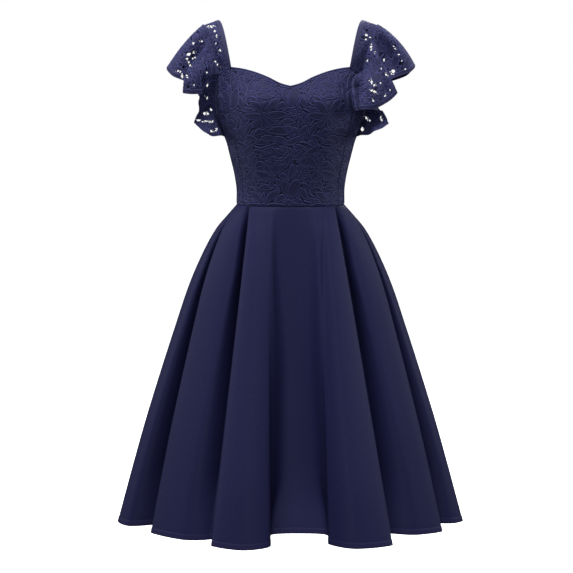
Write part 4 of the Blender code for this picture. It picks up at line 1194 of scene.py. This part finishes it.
makeBindings()
makeStraps()
makeFlounces()
print("straps bound and sleeves set in")

# the zip in the centre back seam: metres

zipper = {
    "tapeTop": -0.158, "tapeEnd": 0.22, "tapeHalf": 0.012, "tapeInward": 0.00225, "tapeThick": 0.0006,
    "tapeColumns": 9, "tapeRowsLow": 40, "tapeRowsHigh": 60, "tooth": (0.0046, 0.0011, 0.0010),
    "toothPitch": 0.0017, "toothOffset": 0.0008, "toothInward": 0.0005, "toothBevel": 0.0003,
    "firstTooth": 0.002, "lastTooth": 0.012,
    "sliderZ": -0.172, "sliderWide": 0.0080, "sliderNarrow": 0.0062, "sliderLength": 0.0110,
    "sliderThick": 0.0020, "sliderBevel": 0.0005, "seat": 0.0009, "seatGap": 0.00075,
    "bridgeHalf": 0.0005, "bridgeWide": 1.7, "axisRise": 0.0014, "pullThick": 0.0010, "pullBar": 0.0008,
    "pullTop": 0.0056, "pullEnd": 0.0070, "pullLength": 0.0230, "pullFlat": 0.22, "pullBevel": 0.00022,
    "window": (0.0032, 0.0062),
}
# middle of the slider's bridge: up the slider, out from it
zipArch = [(-0.0038, -0.0004), (-0.0024, 0.0030), (0.0024, 0.0030), (0.0038, -0.0004)]


def startPiece(name):
    piece = bpy.context.object
    piece.name = name
    bpy.ops.object.mode_set(mode="EDIT")
    bpy.ops.mesh.select_all(action="DESELECT")
    bpy.ops.object.mode_set(mode="OBJECT")
    return piece


def newBox(name, size, place=(0, 0, 0)):
    bpy.ops.mesh.primitive_cube_add(size=1, location=place)
    box = startPiece(name)
    box.dimensions = size
    bpy.ops.object.transform_apply(scale=True)
    return box


def pickPoints(piece, wanted):
    # leaves edit mode open with the wanted points selected
    for vertex in piece.data.vertices:
        vertex.select = bool(wanted(vertex.co))
    bpy.ops.object.mode_set(mode="EDIT")
    bpy.ops.mesh.select_mode(type="VERT")


def placePiece(piece, place, material, body, node):
    # the place goes into the mesh, the object stays at the origin
    selectOnly(piece)
    piece.location = place
    bpy.ops.object.transform_apply(location=True, rotation=True, scale=True)
    bpy.ops.object.shade_smooth_by_angle(angle=math.radians(35))
    piece.data.materials.clear()
    piece.data.materials.append(material)
    piece.select_set(False)
    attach(piece, body)
    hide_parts(node)


def zipPath():
    # middle of the tape from its lower end up, inside the seam
    down = np.linspace(zipper["tapeEnd"], 0, zipper["tapeRowsLow"])[:-1]
    low = foldLine(backFolds[-1], down)
    z = np.linspace(bodice["waistZ"], zipper["tapeTop"], zipper["tapeRowsHigh"])
    line = np.concatenate([low, bodicePoint(180, z)])
    line[:, 1] -= zipper["tapeInward"]
    return line


def makeTape():
    line = zipPath()
    columns = zipper["tapeColumns"]
    points = np.repeat(line[:, None], columns, axis=1)
    points[..., 0] = np.linspace(zipper["tapeHalf"], -zipper["tapeHalf"], columns)
    tape = clothGrid("zip_tape_cloth", points, flatPlaces(points, columns // 2))
    thicken(tape, zipper["tapeThick"])
    tape.data.materials.append(tapeCloth)
    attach(tape, "dress")
    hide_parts("zip_tape")
    # one tooth, copied down both sides of the coil
    tooth = newBox("zip_coil", zipper["tooth"])
    applyModifier(tooth, "BEVEL", width=zipper["toothBevel"], segments=1)
    shape = np.array([vertex.co for vertex in tooth.data.vertices])
    faces = [list(face.vertices) for face in tooth.data.polygons]
    length = lengths(line)
    places = np.arange(zipper["firstTooth"], length[-1] - zipper["lastTooth"], zipper["toothPitch"])
    inward = -zipper["tapeThick"] / 2 - zipper["toothInward"]
    vertices, allFaces = [], []
    for k, place in enumerate(places):
        middle = np.array([np.interp(place, length, line[:, axis]) for axis in range(3)])
        side = zipper["toothOffset"] * (1 if k % 2 else -1)
        vertices.append(shape + middle + np.array([side, inward, 0]))
        allFaces += [[index + k * len(shape) for index in face] for face in faces]
    bpy.data.objects.remove(tooth)
    coil = meshFrom("zip_coil_teeth", np.concatenate(vertices), allFaces)
    coil.data.materials.append(coilPlastic)
    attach(coil, "dress")
    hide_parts("zip_tape")


def makeSlider():
    # its back stands just clear of the lace
    face = bodicePoint(180, zipper["sliderZ"])[1] + zipper["seat"] + zipper["seatGap"]
    thick = zipper["sliderThick"]
    slider = newBox("slider_body", (zipper["sliderWide"], thick, zipper["sliderLength"]))
    pickPoints(slider, lambda co: co.z < 0)
    bpy.ops.transform.resize(value=(zipper["sliderNarrow"] / zipper["sliderWide"], 1, 1))
    bpy.ops.object.mode_set(mode="OBJECT")
    applyModifier(slider, "BEVEL", width=zipper["sliderBevel"], segments=3)
    placePiece(slider, (0, face + thick / 2, zipper["sliderZ"]), zipMetal, "dress", "zip_slider")
    # the bridge over the pull's bar
    bpy.ops.curve.primitive_bezier_curve_add()
    bridge = bpy.context.object
    bridge.name = "slider_bridge"
    spline = bridge.data.splines[0]
    spline.bezier_points.add(2)
    for point, (z, y) in zip(spline.bezier_points, zipArch):
        point.co = (0, y, z)
        point.handle_left_type = point.handle_right_type = "AUTO"
    bridge.data.bevel_depth = zipper["bridgeHalf"]
    bridge.data.bevel_resolution = 3
    bridge.data.resolution_u = 8
    bridge.data.use_fill_caps = True
    bpy.ops.object.convert(target="MESH")
    bridge = bpy.context.object
    bridge.scale = (zipper["bridgeWide"], 1, 1)
    placePiece(bridge, (0, face + thick, zipper["sliderZ"]), zipMetal, "dress", "zip_slider")
    return face + thick


def makePull(face):
    # a plate with a rounded end, hung from its bar, which lies on the hinge's axis
    half, flat = zipper["pullEnd"] / 2, zipper["pullFlat"]
    bpy.ops.mesh.primitive_circle_add(vertices=32, radius=half, fill_type="NGON",
                                      rotation=(math.pi / 2, 0, 0))
    pull = startPiece("pull_tab_metal")
    bpy.ops.object.transform_apply(rotation=True)
    pickPoints(pull, lambda co: co.z > -0.00001)
    bpy.ops.transform.resize(value=(zipper["pullTop"] / zipper["pullEnd"], 1, flat))
    bpy.ops.transform.translate(value=(0, 0, zipper["pullLength"] - half))
    bpy.ops.mesh.select_all(action="SELECT")
    bpy.ops.transform.translate(value=(0, 0, half - zipper["pullLength"] + zipper["pullBar"] - flat * half))
    bpy.ops.mesh.extrude_region_move(TRANSFORM_OT_translate={"value": (0, zipper["pullThick"], 0)})
    bpy.ops.mesh.select_all(action="SELECT")
    bpy.ops.transform.translate(value=(0, -zipper["pullThick"] / 2, 0))
    bpy.ops.mesh.normals_make_consistent(inside=False)
    bpy.ops.object.mode_set(mode="OBJECT")
    wide, high = zipper["window"]
    window = newBox("window", (wide, 0.01, high), (0, 0, -zipper["pullBar"] - high / 2))
    applyModifier(pull, "BOOLEAN", object=window, operation="DIFFERENCE", solver="EXACT")
    bpy.data.objects.remove(window)
    applyModifier(pull, "BEVEL", width=zipper["pullBevel"], segments=2, limit_method="ANGLE")
    place = (0, face + zipper["axisRise"], zipper["sliderZ"])
    placePiece(pull, place, zipMetal, "pull_tab", "zip_pull")


makeTape()
makePull(makeSlider())
print("zip closed")

# studio and camera

studio = {"floorZ": -1.30, "floorSize": 60, "paper": (0.9, 0.9, 0.9), "paperRoughness": 0.9, "glow": 1.0,
          "ambient": 0.10, "aim": (0, 0, -0.5)}
# place, size in metres, power in watts
lights = {"key": ((-0.4, -1.1, 2.9), 1.6, 158), "left": ((-3.8, 0.45, 0.9), 1.8, 67),
          "right": ((3.8, 0.45, 0.9), 1.8, 80), "front": ((0.2, -4.6, 0.9), 1.8, 28),
          "low": ((0.1, -2.0, -1.22), 1.2, 8), "rear": ((0.6, 2.6, 1.9), 2.2, 70)}


def softLight(name, place, size, power):
    bpy.ops.object.light_add(type="AREA", location=place)
    light = bpy.context.object
    light.name = name
    light.data.energy = power
    light.data.size = size
    light.rotation_euler = (Vector(studio["aim"]) - Vector(place)).to_track_quat("-Z", "Y").to_euler()


def makeStudio():
    # the floor is lit paper, white from edge to edge, and leaves the light on the cloth to the lamps
    bpy.ops.mesh.primitive_plane_add(size=studio["floorSize"], location=(0, 0, studio["floorZ"]))
    floor = bpy.context.object
    floor.name = "floor"
    paper = newMaterial("paper", studio["paper"], studio["paperRoughness"])
    paperShader = paper.node_tree.nodes["Principled BSDF"]
    paperShader.inputs["Emission Color"].default_value = (1, 1, 1, 1)
    paperShader.inputs["Emission Strength"].default_value = studio["glow"]
    floor.data.materials.append(paper)
    floor.visible_diffuse = False
    floor.visible_glossy = False
    world = bpy.data.worlds.new("studio")
    bpy.context.scene.world = world
    world.use_nodes = True
    nodes, links = world.node_tree.nodes, world.node_tree.links
    sky = nodes["Background"]
    sky.inputs["Color"].default_value = (1, 1, 1, 1)
    sky.inputs["Strength"].default_value = studio["ambient"]
    backdrop = nodes.new("ShaderNodeBackground")
    backdrop.inputs["Color"].default_value = (1, 1, 1, 1)
    path = nodes.new("ShaderNodeLightPath")
    mix = nodes.new("ShaderNodeMixShader")
    links.new(path.outputs["Is Camera Ray"], mix.inputs[0])
    links.new(sky.outputs[0], mix.inputs[1])
    links.new(backdrop.outputs[0], mix.inputs[2])
    links.new(mix.outputs[0], nodes["World Output"].inputs["Surface"])
    for name, light in lights.items():
        softLight(name, *light)
    bpy.ops.object.camera_add(location=shot["place"], rotation=(math.radians(90 - shot["pitchDown"]), 0, 0))
    camera = bpy.context.object
    camera.data.lens = shot["lens"]
    camera.data.sensor_width = shot["sensor"]
    camera.data.shift_x = shot["shiftX"]
    camera.data.clip_end = shot["clipEnd"]
    bpy.context.scene.camera = camera
    bpy.context.scene.view_settings.view_transform = "Standard"


makeStudio()
print("studio lit")
